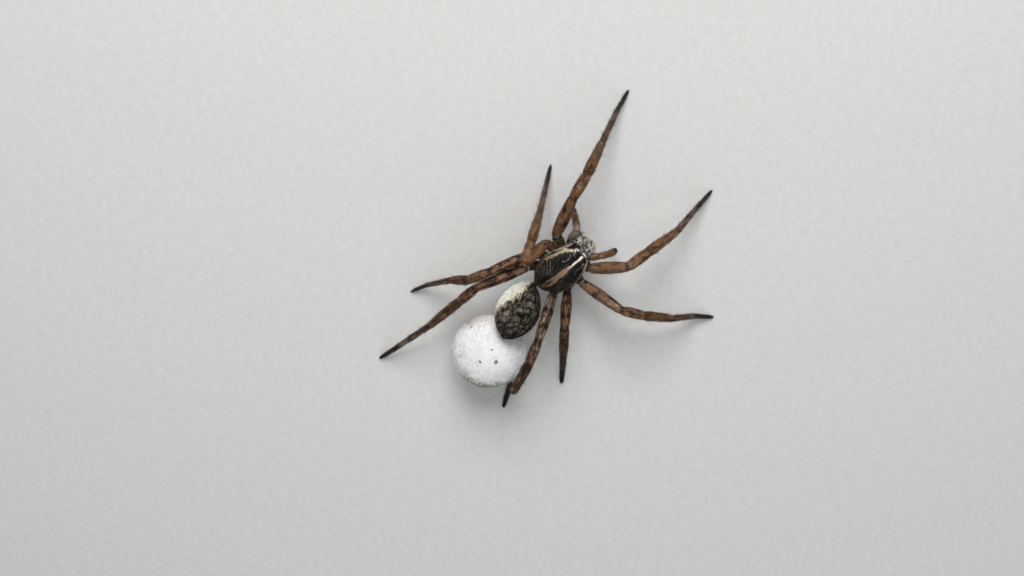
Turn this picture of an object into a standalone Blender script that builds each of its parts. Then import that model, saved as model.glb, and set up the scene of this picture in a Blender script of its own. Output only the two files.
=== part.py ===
"""Female wolf spider carrying her egg sac, life size, standing still on the floor.

Run with: blender --background --python part.py

Lengths in this file are millimetres until a mesh is made, where they become metres.
The spider's own frame has its origin on the floor under the middle of the carapace,
the head towards -Y, her left side towards +X and +Z up. At the end the whole model is
moved so that the origin lies under the middle of its bounding box.
"""

import math

import bmesh
import bpy
from mathutils import Matrix, Vector

METRES = 0.001          # one millimetre
GAP = 0.16              # thin cut between neighbouring pieces
UP = Vector((0, 0, 1))

# Front part of the body. It is rolled a little to her right, about a line between the hips.
HIP_HEIGHT = 5.2
BODY_ROLL = (
    Matrix.Translation((0, 0, HIP_HEIGHT)) @ Matrix.Rotation(math.radians(-7), 4, "Y")
    @ Matrix.Translation((0, 0, -HIP_HEIGHT)))
CARAPACE_FRONT = -4.05
CARAPACE_REAR = 4.85
CARAPACE_RIM = 6.1      # height of the carapace's lower edge
# Along the carapace: distance from its middle, half width, height of its back.
CARAPACE_OUTLINE = (
    (-4.05, 1.45, 7.45), (-3.55, 2.0, 8.1), (-2.6, 2.4, 8.5), (-1.0, 2.9, 8.6),
    (0.6, 3.4, 8.55), (2.2, 3.2, 8.35), (3.5, 2.5, 7.8), (4.4, 1.5, 7.0), (4.85, 0.7, 6.5),
)
# Along the sternum and the neck behind it: distance, half width, underside.
STERNUM_OUTLINE = (
    (-2.0, 0.5, 3.95), (-1.7, 0.95, 3.65), (-1.0, 1.2, 3.5), (0.0, 1.4, 3.45),
    (1.1, 1.15, 3.6), (1.9, 0.8, 4.1), (2.9, 0.7, 4.7), (4.1, 0.5, 5.0),
)
STERNUM_TOP = CARAPACE_RIM - GAP

# Abdomen: its front end sits at the waist and it swings to her right and upwards.
WAIST = Vector((1.1, 4.9, 6.3))
ABDOMEN_LENGTH = 9.6
ABDOMEN_WIDTH = 6.5
ABDOMEN_HEIGHT = 5.5
ABDOMEN_SWING = 22.0    # degrees to her right
ABDOMEN_RISE = 22.0     # degrees from the waist up to the tail
SPINNERETS_FROM_TAIL = 0.45
SPINNERETS_BELOW = 1.05 # the abdomen's axis, just clear of its underside
SPINNERETS_WIDTH = 1.0

# Egg sac: a round silk purse under and behind the tail, resting on the floor.
SAC_CENTRE = Vector((-3.75, 17.6, 4.75))
SAC_RADIUS = 5.8
SAC_HALF_HEIGHT = 4.9

# Legs, numbered from the front. The five lengths run from femur to tarsus.
LEG_LENGTHS = {
    1: (8.2, 3.9, 6.1, 5.9, 3.4),
    2: (7.6, 3.6, 5.3, 5.4, 3.1),
    3: (7.4, 3.3, 4.7, 5.8, 3.0),
    4: (8.9, 3.7, 7.3, 8.0, 3.7),
}
LEG_THICKNESS = {1: 1.0, 2: 0.94, 3: 0.9, 4: 0.93}
HIPS = {
    "left": {1: (4.05, -2.0), 2: (4.15, -0.2), 3: (4.1, 2.3), 4: (2.95, 4.1)},
    "right": {1: (-3.45, -2.65), 2: (-4.15, -0.2), 3: (-4.1, 2.3), 4: (-2.95, 4.1)},
}
COXA_ROOTS = {1: (1.45, -1.75), 2: (1.75, -0.55), 3: (1.75, 0.65), 4: (1.3, 1.8)}
COXA_ROOT_HEIGHT = 4.5

# Stance. Headings turn outwards from straight ahead, for the femur, the shin (patella
# and tibia) and the foot (metatarsus and tarsus). Climbs are degrees above level, for
# the femur, patella, tibia and metatarsus; the tarsus comes down to the floor.
STANCE = {
    ("left", 1): ((31, 19, 20), (30, -8, -40, -39)),
    ("left", 2): ((161, 29, 33), (63, -41, -47, -46)),
    ("left", 3): ((157, 161, 167), (23, 5, -50, -42)),
    ("left", 4): ((156, 185, 181), (24, -20, -22, -25)),
    ("right", 1): ((19, 12, 1), (48, -31, -31, -40)),
    ("right", 2): ((71, 55, 52), (22, -4, -27, -43)),
    ("right", 3): ((140, 129, 129), (60, -38, -43, -46)),
    ("right", 4): ((155, 151, 145), (50, 4, -31, -75)),
}
FOOT_AXIS_HEIGHT = 0.12 # of the tarsus tip above the floor, less than its radius

# Half thickness along each leg segment: (fraction, radius), leg 1.
FEMUR_SHAPE = ((0, 0.62), (0.12, 0.78), (0.4, 0.95), (0.75, 0.85), (1, 0.68))
PATELLA_SHAPE = ((0, 0.66), (0.3, 0.82), (0.7, 0.8), (1, 0.68))
TIBIA_SHAPE = ((0.2, 0.78), (0.6, 0.7), (1, 0.56))
METATARSUS_SHAPE = ((0, 0.5), (0.35, 0.47), (0.8, 0.4), (1, 0.37))
TARSUS_SHAPE = ((0.4, 0.38), (0.85, 0.34), (1, 0.29))
LEG_SIDES = 8

# Palps, the two short feelers beside the jaws: femur, patella, tibia, tarsus.
PALP_LENGTHS = (2.6, 1.4, 1.8, 2.2)
PALP_ROOT = (2.02, -3.25, 4.6)
PALP_STANCE = {
    "left": ((22, 55, 66, 74), (42, -30, -62, -74)),
    "right": ((16, 36, 48, 56), (44, -26, -60, -72)),
}

# Eyes: half spacing, distance along the head, height, radius.
EYES = {
    "front_middle": (0.24, -4.07, 6.95, 0.17),
    "front_side": (0.68, -4.05, 6.9, 0.15),
    "large": (0.62, -3.6, 7.97, 0.36),
    "rear": (1.04, -2.65, 8.35, 0.31),
}


def clear_scene():
    for item in list(bpy.data.objects):
        bpy.data.objects.remove(item, do_unlink=True)


def paint(name, colour, roughness):
    """A Principled material with one base colour."""
    material = bpy.data.materials.new(name)
    material.use_nodes = True
    shader = material.node_tree.nodes["Principled BSDF"]
    shader.inputs["Base Color"].default_value = (*colour, 1)
    shader.inputs["Roughness"].default_value = roughness
    shader.inputs["Metallic"].default_value = 0.0
    material.diffuse_color = (*colour, 1)
    return material


def part(name, mesh, origin, material, spider):
    """Turn a bmesh in millimetres into a named object whose origin is at `origin`."""
    bmesh.ops.recalc_face_normals(mesh, faces=mesh.faces)
    bmesh.ops.triangulate(mesh, faces=mesh.faces)
    mesh.transform(Matrix.Scale(METRES, 4) @ Matrix.Translation(-origin))
    data = bpy.data.meshes.new(name)
    mesh.to_mesh(data)
    mesh.free()
    data.materials.append(material)
    data.shade_smooth()
    data.set_sharp_from_angle(angle=math.radians(50))
    item = bpy.data.objects.new(name, data)
    item.location = origin * METRES
    item.parent = spider
    bpy.context.collection.objects.link(item)
    return item


def bridge(rings):
    """A closed skin over a row of rings, with a flat cap on each end."""
    mesh = bmesh.new()
    rows = [[mesh.verts.new(point) for point in ring] for ring in rings]
    count = len(rows[0])
    for near, far in zip(rows, rows[1:]):
        for k in range(count):
            mesh.faces.new((near[k], near[(k + 1) % count], far[(k + 1) % count], far[k]))
    mesh.faces.new(reversed(rows[0]))
    mesh.faces.new(rows[-1])
    return mesh


def cut_at_floor(mesh):
    """Trim what reaches below the floor, leaving a flat there."""
    cut = bmesh.ops.bisect_plane(
        mesh, geom=mesh.verts[:] + mesh.edges[:] + mesh.faces[:], dist=1e-5,
        plane_co=(0, 0, 0), plane_no=(0, 0, 1), clear_inner=True)
    edges = [item for item in cut["geom_cut"] if isinstance(item, bmesh.types.BMEdge)]
    bmesh.ops.edgeloop_fill(mesh, edges=edges)
    for vertex in mesh.verts:
        if abs(vertex.co.z) < 1e-4:
            vertex.co.z = 0.0


def smooth_table(rows, where):
    """Value of each column of `rows` at `where` in the first one, on a smooth curve."""
    last = len(rows) - 1
    i = max(k for k in range(last) if rows[k][0] <= where or k == 0)
    before, start, end, after = (rows[min(max(k, 0), last)] for k in (i - 1, i, i + 1, i + 2))
    span = end[0] - start[0]
    t = (where - start[0]) / span
    values = []
    for a, b, c, d in zip(before[1:], start[1:], end[1:], after[1:]):
        rise_in = (c - a) / (end[0] - before[0]) * span
        rise_out = (d - b) / (after[0] - start[0]) * span
        values.append(
            b * (2 * t**3 - 3 * t**2 + 1) + c * (3 * t**2 - 2 * t**3)
            + rise_in * (t**3 - 2 * t**2 + t) + rise_out * (t**3 - t**2))
    return values


def direction(side, heading, climb):
    """Unit vector at a heading from straight ahead and a climb above level."""
    turn = math.radians(heading)
    rise = math.radians(climb)
    out = 1 if side == "left" else -1
    return Vector((
        out * math.sin(turn) * math.cos(rise), -math.cos(turn) * math.cos(rise), math.sin(rise)))


def limb_rings(points, planes, shapes, dorsal, sides, cuts=(0.0, 0.0)):
    """Rings along a bent limb whose spans end on the given planes.

    points has one more entry than shapes, and planes one normal for each point. cuts
    shortens the first and last span by that much along their planes' normals.
    """
    rings = []
    for i, shape in enumerate(shapes):
        base, tip = points[i], points[i + 1]
        length = (tip - base).length
        along = (tip - base).normalized()
        up = (dorsal - along * dorsal.dot(along)).normalized()
        across = along.cross(up)
        trim_in = cuts[0] if i == 0 else 0.0
        trim_out = cuts[1] if i == len(shapes) - 1 else 0.0
        for station in shape:
            fraction, half_width, half_height = station
            ring = []
            for k in range(sides):
                angle = 2 * math.pi * (k + 0.5) / sides
                offset = (across * math.cos(angle) * half_width
                          + up * math.sin(angle) * half_height)
                begin = (trim_in - offset.dot(planes[i])) / along.dot(planes[i])
                end = (-trim_out - offset.dot(planes[i + 1])) / along.dot(planes[i + 1])
                place = begin + fraction * (length + end - begin)
                ring.append(base + offset + along * place)
            rings.append(ring)
        if i < len(shapes) - 1:
            following = (points[i + 2] - tip).normalized()
            dorsal = along.rotation_difference(following) @ up
    return rings


def rounded(rings, start=False, end=False, depth=0.3):
    """Add a small shrunken ring beyond either end, so that the end is domed."""
    def dome(ring, previous):
        centre = sum(ring, Vector()) / len(ring)
        inward = (centre - sum(previous, Vector()) / len(previous)).normalized()
        return [centre + (point - centre) * 0.55 + inward * depth for point in ring]
    if start:
        rings = [dome(rings[0], rings[1])] + rings
    if end:
        rings = rings + [dome(rings[-1], rings[-2])]
    return rings


def scaled(shape, factor, slim=0.94):
    """Stations of a leg segment: fraction, half width and half height."""
    return [(fraction, radius * factor * slim, radius * factor) for fraction, radius in shape]


def leg_joints(side, number):
    """Hip, knee, patella end, tibia end, metatarsus end and tip of one leg."""
    turns, climbs = STANCE[side, number]
    headings = (turns[0], turns[1], turns[1], turns[2])
    joints = [BODY_ROLL @ Vector((*HIPS[side][number], HIP_HEIGHT))]
    lengths = LEG_LENGTHS[number]
    for heading, climb, length in zip(headings, climbs, lengths):
        joints.append(joints[-1] + direction(side, heading, climb) * length)
    drop = (FOOT_AXIS_HEIGHT - joints[-1].z) / lengths[4]
    joints.append(joints[-1] + direction(side, turns[2], math.degrees(math.asin(drop))) * lengths[4])
    return joints


def bisectors(points):
    """Plane normals at the points of a bent line, square to its two end spans."""
    spans = [(b - a).normalized() for a, b in zip(points, points[1:])]
    inner = [(a + b).normalized() for a, b in zip(spans, spans[1:])]
    return [spans[0]] + inner + [spans[-1]]


def make_leg(side, number, materials, spider):
    """The four nodes of one leg: coxa, femur, shin and foot."""
    out = 1 if side == "left" else -1
    size = LEG_THICKNESS[number]
    root_x, root_y = COXA_ROOTS[number]
    root = BODY_ROLL @ Vector((out * root_x, root_y, COXA_ROOT_HEIGHT))
    points = [root] + leg_joints(side, number)
    planes = bisectors(points)
    femur_way = (points[2] - points[1]).normalized()
    shin_way = (points[3] - points[2]).normalized()
    dorsal = (femur_way * femur_way.dot(shin_way) - shin_way).normalized()
    name = f"leg_{side}_{number}_"
    half = GAP / 2

    coxa_shape = ((0, 0.42, 0.62), (0.3, 0.55, 0.78), (0.7, 0.76 * size, 0.82), (1, 0.62, 0.64))
    rings = limb_rings(points[0:2], planes[0:2], [coxa_shape], UP, LEG_SIDES, (0, half))
    part(name + "coxa", bridge(rings), points[0], materials["coxa"], spider)

    rings = limb_rings(
        points[1:3], planes[1:3], [scaled(FEMUR_SHAPE, size)], dorsal, LEG_SIDES, (half, half))
    part(name + "femur", bridge(rings), points[1], materials["femur"], spider)

    dorsal = femur_way.rotation_difference(shin_way) @ dorsal
    rings = limb_rings(
        points[2:5], planes[2:5], [scaled(PATELLA_SHAPE, size), scaled(TIBIA_SHAPE, size)],
        dorsal, LEG_SIDES, (half, half))
    part(name + "shin", bridge(rings), points[2], materials["shin"], spider)

    rings = limb_rings(
        points[4:7], planes[4:7], [scaled(METATARSUS_SHAPE, size), scaled(TARSUS_SHAPE, size)],
        UP, LEG_SIDES, (half, 0))
    foot = bridge(rounded(rings, end=True, depth=0.12))
    cut_at_floor(foot)
    part(name + "foot", foot, points[4], materials["foot"], spider)


def make_palp(side, materials, spider):
    """One feeler: maxilla at the mouth, then femur, shin and tip."""
    out = 1 if side == "left" else -1
    maxilla = [BODY_ROLL @ Vector((out * x, y, z)) for x, y, z in
               ((0.95, -2.2, 4.35), (0.82, -3.0, 4.1), (0.6, -3.55, 3.75))]
    shape = [[(0, 0.42, 0.4), (0.5, 0.5, 0.45)], [(0, 0.5, 0.42), (1, 0.3, 0.3)]]
    rings = limb_rings(maxilla, bisectors(maxilla), shape, UP, LEG_SIDES)
    part(f"maxilla_{side}", bridge(rings), maxilla[0], materials["mouth"], spider)

    points = [BODY_ROLL @ Vector((out * PALP_ROOT[0], PALP_ROOT[1], PALP_ROOT[2]))]
    headings, climbs = PALP_STANCE[side]
    for heading, climb, length in zip(headings, climbs, PALP_LENGTHS):
        points.append(points[-1] + direction(side, heading, climb) * length)
    planes = bisectors(points)
    half = GAP / 2
    femur = [(0, 0.36, 0.38), (0.5, 0.46, 0.5), (1, 0.42, 0.44)]
    rings = limb_rings(points[0:2], planes[0:2], [femur], UP, LEG_SIDES, (0, half))
    part(f"palp_{side}_femur", bridge(rounded(rings, start=True)), points[0],
         materials["femur"], spider)
    patella = [(0, 0.4, 0.42), (0.5, 0.46, 0.48), (1, 0.42, 0.43)]
    tibia = [(0.5, 0.46, 0.46), (1, 0.42, 0.42)]
    rings = limb_rings(points[1:4], planes[1:4], [patella, tibia], UP, LEG_SIDES, (half, half))
    part(f"palp_{side}_shin", bridge(rings), points[1], materials["shin"], spider)
    tarsus = [(0, 0.4, 0.4), (0.4, 0.42, 0.42), (0.8, 0.34, 0.34), (1, 0.26, 0.26)]
    rings = limb_rings(points[3:5], planes[3:5], [tarsus], UP, LEG_SIDES, (half, 0))
    part(f"palp_{side}_tarsus", bridge(rounded(rings, end=True, depth=0.14)), points[3],
         materials["foot"], spider)


def make_jaws(side, materials, spider):
    """One chelicera, the thick upper jaw, and the fang folded under its end."""
    out = 1 if side == "left" else -1
    points = [BODY_ROLL @ Vector((out * x, y, z)) for x, y, z in
              ((0.9, -3.45, 5.5), (0.92, -4.25, 5.2), (0.88, -4.7, 4.4), (0.8, -4.75, 3.5))]
    shape = [
        [(0, 0.55, 0.45), (0.5, 0.76, 0.62)],
        [(0, 0.82, 0.78), (0.5, 0.8, 0.76)],
        [(0, 0.76, 0.7), (0.5, 0.66, 0.6), (1, 0.46, 0.4)],
    ]
    rings = limb_rings(points, bisectors(points), shape, UP, 12)
    part(f"chelicera_{side}", bridge(rounded(rings, start=True, depth=0.2)), points[0],
         materials["jaw"], spider)
    bend = [BODY_ROLL @ Vector((out * x, y, z)) for x, y, z in
            ((0.86, -4.75, 3.12), (0.6, -4.65, 2.86), (0.26, -4.4, 2.74))]
    fang = [[(0, 0.22, 0.22), (1, 0.18, 0.18)], [(1, 0.09, 0.09)]]
    rings = limb_rings(bend, bisectors(bend), fang, UP, 6)
    part(f"fang_{side}", bridge(rings), bend[0], materials["fang"], spider)


def make_carapace(materials, spider):
    """The domed shield, with a cup cut for each eye."""
    rings = []
    steps = 15
    for i in range(steps + 1):
        y = CARAPACE_FRONT + (CARAPACE_REAR - CARAPACE_FRONT) * i / steps
        half_width, top = smooth_table(CARAPACE_OUTLINE, y)
        ring = []
        arch = 15
        for k in range(arch + 1):
            angle = math.pi * k / arch
            x = half_width * math.copysign(abs(math.cos(angle)) ** 0.8, math.cos(angle))
            z = CARAPACE_RIM + (top - CARAPACE_RIM) * math.sin(angle) ** 0.85
            ring.append(Vector((x, y, z)))
        rings.append(ring)
    mesh = bridge(rings)
    mesh.transform(BODY_ROLL)
    shield = part("carapace", mesh, Vector((0, 0, CARAPACE_RIM)), materials["carapace"], spider)
    cups = bmesh.new()
    for half_space, y, z, radius in EYES.values():
        for out in (-1, 1):
            place = BODY_ROLL @ Matrix.Translation((out * half_space, y, z))
            bmesh.ops.create_uvsphere(
                cups, u_segments=12, v_segments=8, radius=radius + GAP / 3, matrix=place)
    cutter = part("eye_cups", cups, Vector((0, 0, CARAPACE_RIM)), materials["eye"], spider)
    cutter.hide_render = True
    cutter.display_type = "WIRE"
    cup_cut = shield.modifiers.new("eye cups", "BOOLEAN")
    cup_cut.operation = "DIFFERENCE"
    cup_cut.solver = "EXACT"
    cup_cut.object = cutter


def make_eyes(materials, spider):
    for row, (half_space, y, z, radius) in EYES.items():
        for side, out in (("left", 1), ("right", -1)):
            centre = BODY_ROLL @ Vector((out * half_space, y, z))
            ball = bmesh.new()
            bmesh.ops.create_uvsphere(
                ball, u_segments=10, v_segments=7, radius=radius,
                matrix=Matrix.Translation(centre))
            part(f"eye_{row}_{side}", ball, centre, materials["eye"], spider)


def make_sternum(materials, spider):
    """The plate between the hips, with the narrow neck that leads to the waist."""
    rings = []
    steps = 12
    first, last = STERNUM_OUTLINE[0][0], STERNUM_OUTLINE[-1][0]
    for i in range(steps + 1):
        y = first + (last - first) * i / steps
        half_width, bottom = smooth_table(STERNUM_OUTLINE, y)
        middle = (STERNUM_TOP + bottom) / 2
        half_height = (STERNUM_TOP - bottom) / 2
        rings.append([
            Vector((
                half_width * math.copysign(abs(math.cos(a)) ** 0.6, math.cos(a)), y,
                middle + half_height * math.copysign(abs(math.sin(a)) ** 0.6, math.sin(a))))
            for a in (2 * math.pi * (k + 0.5) / 12 for k in range(12))])
    plate = bridge(rings)
    plate.transform(BODY_ROLL)
    part("sternum", plate, Vector((0, 0, STERNUM_TOP)), materials["mouth"], spider)


def abdomen_frame():
    """Where the abdomen points (towards the tail), and its upper side."""
    swing = math.radians(ABDOMEN_SWING)
    rise = math.radians(ABDOMEN_RISE)
    tailward = Vector((
        -math.sin(swing) * math.cos(rise), math.cos(swing) * math.cos(rise), math.sin(rise)))
    across = Vector((math.cos(swing), math.sin(swing), 0))
    return tailward, across, across.cross(tailward)


def make_abdomen(materials, spider):
    """The egg-shaped abdomen, widest behind its middle."""
    tailward, across, top = abdomen_frame()
    steps, sides = 16, 20
    rings = []
    for i in range(1, steps):
        t = 0.5 - 0.5 * math.cos(math.pi * i / steps)
        swell = math.sin(math.pi * t ** 1.08) ** 0.57
        lift = 0.06 * ABDOMEN_HEIGHT * math.sin(math.pi * t)
        centre = WAIST + tailward * (0.25 + t * (ABDOMEN_LENGTH - 0.25)) + top * lift
        rings.append([
            centre + across * (math.cos(a) * swell * ABDOMEN_WIDTH / 2)
            + top * (math.sin(a) * swell * ABDOMEN_HEIGHT / 2)
            for a in (2 * math.pi * k / sides for k in range(sides))])
    part("abdomen", bridge(rings), WAIST.copy(), materials["abdomen"], spider)


def make_pedicel(materials, spider):
    """The thin waist between sternum neck and abdomen."""
    start = BODY_ROLL @ Vector((0.12, STERNUM_OUTLINE[-1][0] + 1.8 * GAP, 5.42))
    end = WAIST + Vector((-0.42, 0.08, -0.52))
    shape = [[(0, 0.36, 0.32), (0.5, 0.3, 0.28), (1, 0.34, 0.3)]]
    points = [start, end]
    rings = limb_rings(points, bisectors(points), shape, UP, 8, (0, 0))
    part("pedicel", bridge(rings), start, materials["mouth"], spider)


def make_spinnerets(materials, spider):
    """Four little spinning fingers on one root under the tail, reaching to the sac."""
    tailward, across, top = abdomen_frame()
    tail = WAIST + tailward * (ABDOMEN_LENGTH - SPINNERETS_FROM_TAIL) - top * SPINNERETS_BELOW
    to_sac = SAC_CENTRE - tail
    rounder = Matrix.Diagonal((1, 1, SAC_RADIUS / SAC_HALF_HEIGHT))
    reach = to_sac.length * (1 - SAC_RADIUS / (rounder @ to_sac).length) - GAP
    way = to_sac.normalized()
    lifted = across.cross(way).normalized()
    place = Matrix((lifted.cross(way), lifted, way)).transposed().to_4x4()
    place.translation = tail
    mesh = bmesh.new()
    bmesh.ops.create_grid(
        mesh, x_segments=2, y_segments=2, size=SPINNERETS_WIDTH / 2, matrix=place)
    fingers = mesh.faces[:]
    root = bmesh.ops.extrude_face_region(mesh, geom=fingers, use_keep_orig=True)
    ends = [item for item in root["geom"] if isinstance(item, bmesh.types.BMFace)]
    bmesh.ops.translate(mesh, vec=way * reach * 0.3, verts=list({v for f in ends for v in f.verts}))
    bmesh.ops.inset_individual(mesh, faces=ends, thickness=SPINNERETS_WIDTH * 0.04)
    for stretch, taper in ((0.5, 0.9), (0.35, 0.6)):
        ends = bmesh.ops.extrude_discrete_faces(mesh, faces=ends)["faces"]
        for end in ends:
            middle = end.calc_center_median()
            for corner in end.verts:
                corner.co = middle + (corner.co - middle) * taper + way * reach * stretch
    item = part("spinnerets", mesh, tail, materials["spinneret"], spider)
    rounding = item.modifiers.new("rounding", "SUBSURF")
    rounding.levels = 1
    rounding.render_levels = 1


def make_egg_sac(materials, spider):
    sac = bmesh.new()
    shape = Matrix.Translation(SAC_CENTRE) @ Matrix.Diagonal((1, 1, SAC_HALF_HEIGHT / SAC_RADIUS, 1))
    bmesh.ops.create_uvsphere(sac, u_segments=28, v_segments=16, radius=SAC_RADIUS, matrix=shape)
    cut_at_floor(sac)
    part("egg_sac", sac, SAC_CENTRE.copy(), materials["silk"], spider)


def centre_over_origin(spider):
    """Move the whole spider so that the origin is under the middle of its box."""
    bpy.context.view_layer.update()
    corners = [item.matrix_world @ vertex.co for item in spider.children
               if not item.hide_render for vertex in item.data.vertices]
    for axis in (0, 1):
        low = min(corner[axis] for corner in corners)
        high = max(corner[axis] for corner in corners)
        spider.location[axis] -= (low + high) / 2


clear_scene()
spider = bpy.data.objects.new("spider", None)
bpy.context.collection.objects.link(spider)
materials = {
    "carapace": paint("carapace", (0.055, 0.036, 0.024), 0.6),
    "mouth": paint("mouth", (0.05, 0.03, 0.02), 0.6),
    "abdomen": paint("abdomen", (0.11, 0.09, 0.07), 0.9),
    "coxa": paint("coxa", (0.16, 0.09, 0.05), 0.8),
    "femur": paint("femur", (0.26, 0.13, 0.07), 0.8),
    "shin": paint("shin", (0.21, 0.1, 0.06), 0.8),
    "foot": paint("foot", (0.09, 0.045, 0.035), 0.8),
    "jaw": paint("jaw", (0.16, 0.12, 0.1), 0.7),
    "fang": paint("fang", (0.02, 0.008, 0.005), 0.25),
    "eye": paint("eye", (0.012, 0.01, 0.014), 0.08),
    "spinneret": paint("spinneret", (0.12, 0.08, 0.05), 0.8),
    "silk": paint("silk", (0.82, 0.81, 0.77), 0.85),
}
make_carapace(materials, spider)
make_eyes(materials, spider)
make_sternum(materials, spider)
make_pedicel(materials, spider)
make_abdomen(materials, spider)
make_spinnerets(materials, spider)
make_egg_sac(materials, spider)
for side in ("left", "right"):
    make_jaws(side, materials, spider)
    make_palp(side, materials, spider)
    for number in HIPS[side]:
        make_leg(side, number, materials, spider)
centre_over_origin(spider)
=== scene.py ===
import math
import random

import bmesh
import bpy
import numpy as np
from mathutils import Matrix, Vector, noise
from mathutils.kdtree import KDTree


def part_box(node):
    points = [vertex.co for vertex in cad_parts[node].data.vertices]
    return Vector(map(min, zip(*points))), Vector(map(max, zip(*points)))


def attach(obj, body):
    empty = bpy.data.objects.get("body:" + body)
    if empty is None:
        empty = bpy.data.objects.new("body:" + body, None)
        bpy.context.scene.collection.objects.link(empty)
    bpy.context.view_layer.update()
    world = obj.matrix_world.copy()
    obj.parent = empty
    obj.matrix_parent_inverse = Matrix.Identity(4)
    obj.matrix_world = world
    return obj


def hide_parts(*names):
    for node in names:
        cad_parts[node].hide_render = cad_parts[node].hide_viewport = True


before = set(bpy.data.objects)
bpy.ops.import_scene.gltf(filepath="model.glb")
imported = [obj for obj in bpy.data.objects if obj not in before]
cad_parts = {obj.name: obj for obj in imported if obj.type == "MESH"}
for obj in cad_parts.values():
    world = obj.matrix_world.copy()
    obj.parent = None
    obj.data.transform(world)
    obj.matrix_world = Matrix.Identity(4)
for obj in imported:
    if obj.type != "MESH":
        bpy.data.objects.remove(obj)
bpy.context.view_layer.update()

# --- Stand, light and camera -----------------------------------------------------
# The spider stands on a plain pale floor under broad soft lights. The camera looks
# down on her back, 17 degrees from straight above, with her head to the upper right.
MM = 0.001
CARAPACE_MIDDLE = Vector((0.12, 4.05))  # millimetres from the middle of its front edge
CAMERA_TILT = math.radians(17)
CAMERA_DISTANCE = 192 * MM
CAMERA_RIGHT = Vector((-0.643, -0.766, 0))
BODY_UP_IN_VIEW = Vector((0.766, -0.643, 0))
RIGHT_OF_FRAME = 7.52 * MM
ABOVE_FRAME = 3.76 * MM
AIM_HEIGHT = 5 * MM

low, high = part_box("carapace")
ORIGIN = Vector(((low.x + high.x) / 2 + CARAPACE_MIDDLE.x * MM, low.y + CARAPACE_MIDDLE.y * MM, 0.0))
TO_WORLD = Matrix.Translation(ORIGIN) @ Matrix.Scale(MM, 4)


def link(name, data):
    """A new object in the scene, at the origin."""
    item = bpy.data.objects.new(name, data)
    bpy.context.scene.collection.objects.link(item)
    return item


to_camera = Vector((0, 0, 1)) * math.cos(CAMERA_TILT) + BODY_UP_IN_VIEW * math.sin(CAMERA_TILT)
camera_up = BODY_UP_IN_VIEW * math.cos(CAMERA_TILT) - Vector((0, 0, 1)) * math.sin(CAMERA_TILT)
aim = ORIGIN + Vector((0, 0, AIM_HEIGHT)) - CAMERA_RIGHT * RIGHT_OF_FRAME - camera_up * ABOVE_FRAME
turn = Matrix((CAMERA_RIGHT.normalized(), camera_up.normalized(), to_camera.normalized())).transposed()
camera = link("camera", bpy.data.cameras.new("camera"))
camera.data.lens = 45
camera.data.sensor_width = 36
camera.data.clip_start = 0.005
camera.data.clip_end = 10
camera.matrix_world = Matrix.Translation(aim + to_camera * CAMERA_DISTANCE) @ turn.to_4x4()
bpy.context.scene.camera = camera
bpy.context.scene.view_settings.view_transform = "Standard"


def two_values(operation):
    """A method that joins a maths node to a socket and one more value."""
    return lambda self, other: self.maths(operation, self, other)


class Socket:
    """A node's output, which can be added, multiplied and compared like a number."""

    __add__ = __radd__ = two_values("ADD")
    __sub__ = two_values("SUBTRACT")
    __mul__ = __rmul__ = two_values("MULTIPLY")
    __truediv__ = two_values("DIVIDE")
    __pow__ = two_values("POWER")
    __or__ = two_values("MAXIMUM")
    __and__ = two_values("MINIMUM")

    def __init__(self, wiring, socket):
        self.wiring = wiring
        self.socket = socket

    def maths(self, operation, *values):
        return self.wiring.node("ShaderNodeMath", {"operation": operation}, *values)

    def other(self, output):
        """Another output of the same node."""
        return Socket(self.wiring, self.socket.node.outputs[output])

    def __rsub__(self, other):
        return self.maths("SUBTRACT", other, self)

    def __abs__(self):
        return self.maths("ABSOLUTE", self)


class Wiring:
    """A tree of nodes while it is being wired."""

    def node(self, kind, settings, *values, out=0, **named):
        """One node: its settings first, then its sockets in order or by name."""
        made = self.tree.nodes.new(kind)
        for key, value in settings.items():
            if key == "stops":
                self.fill_ramp(made.color_ramp, value)
            else:
                setattr(made, key, value)
        inputs = [s for s in made.inputs if s.enabled]
        by_name = {s.name: s for s in inputs}
        for socket, value in list(zip(inputs, values)) + [(by_name[k], v) for k, v in named.items()]:
            if isinstance(value, Socket):
                self.tree.links.new(value.socket, socket)
            else:
                socket.default_value = (*value, 1) if socket.type == "RGBA" else value
        return Socket(self, [s for s in made.outputs if s.enabled][out])

    def fill_ramp(self, ramp, stops):
        while len(ramp.elements) < len(stops):
            ramp.elements.new(0.5)
        for element, (place, colour) in zip(ramp.elements, stops):
            element.position = place
            element.color = (*colour, 1) if isinstance(colour, tuple) else (colour, colour, colour, 1)

    def vector(self, operation, *values):
        return self.node("ShaderNodeVectorMath", {"operation": operation}, *values)

    def combine(self, x, y, z):
        return self.node("ShaderNodeCombineXYZ", {}, x, y, z)


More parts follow.
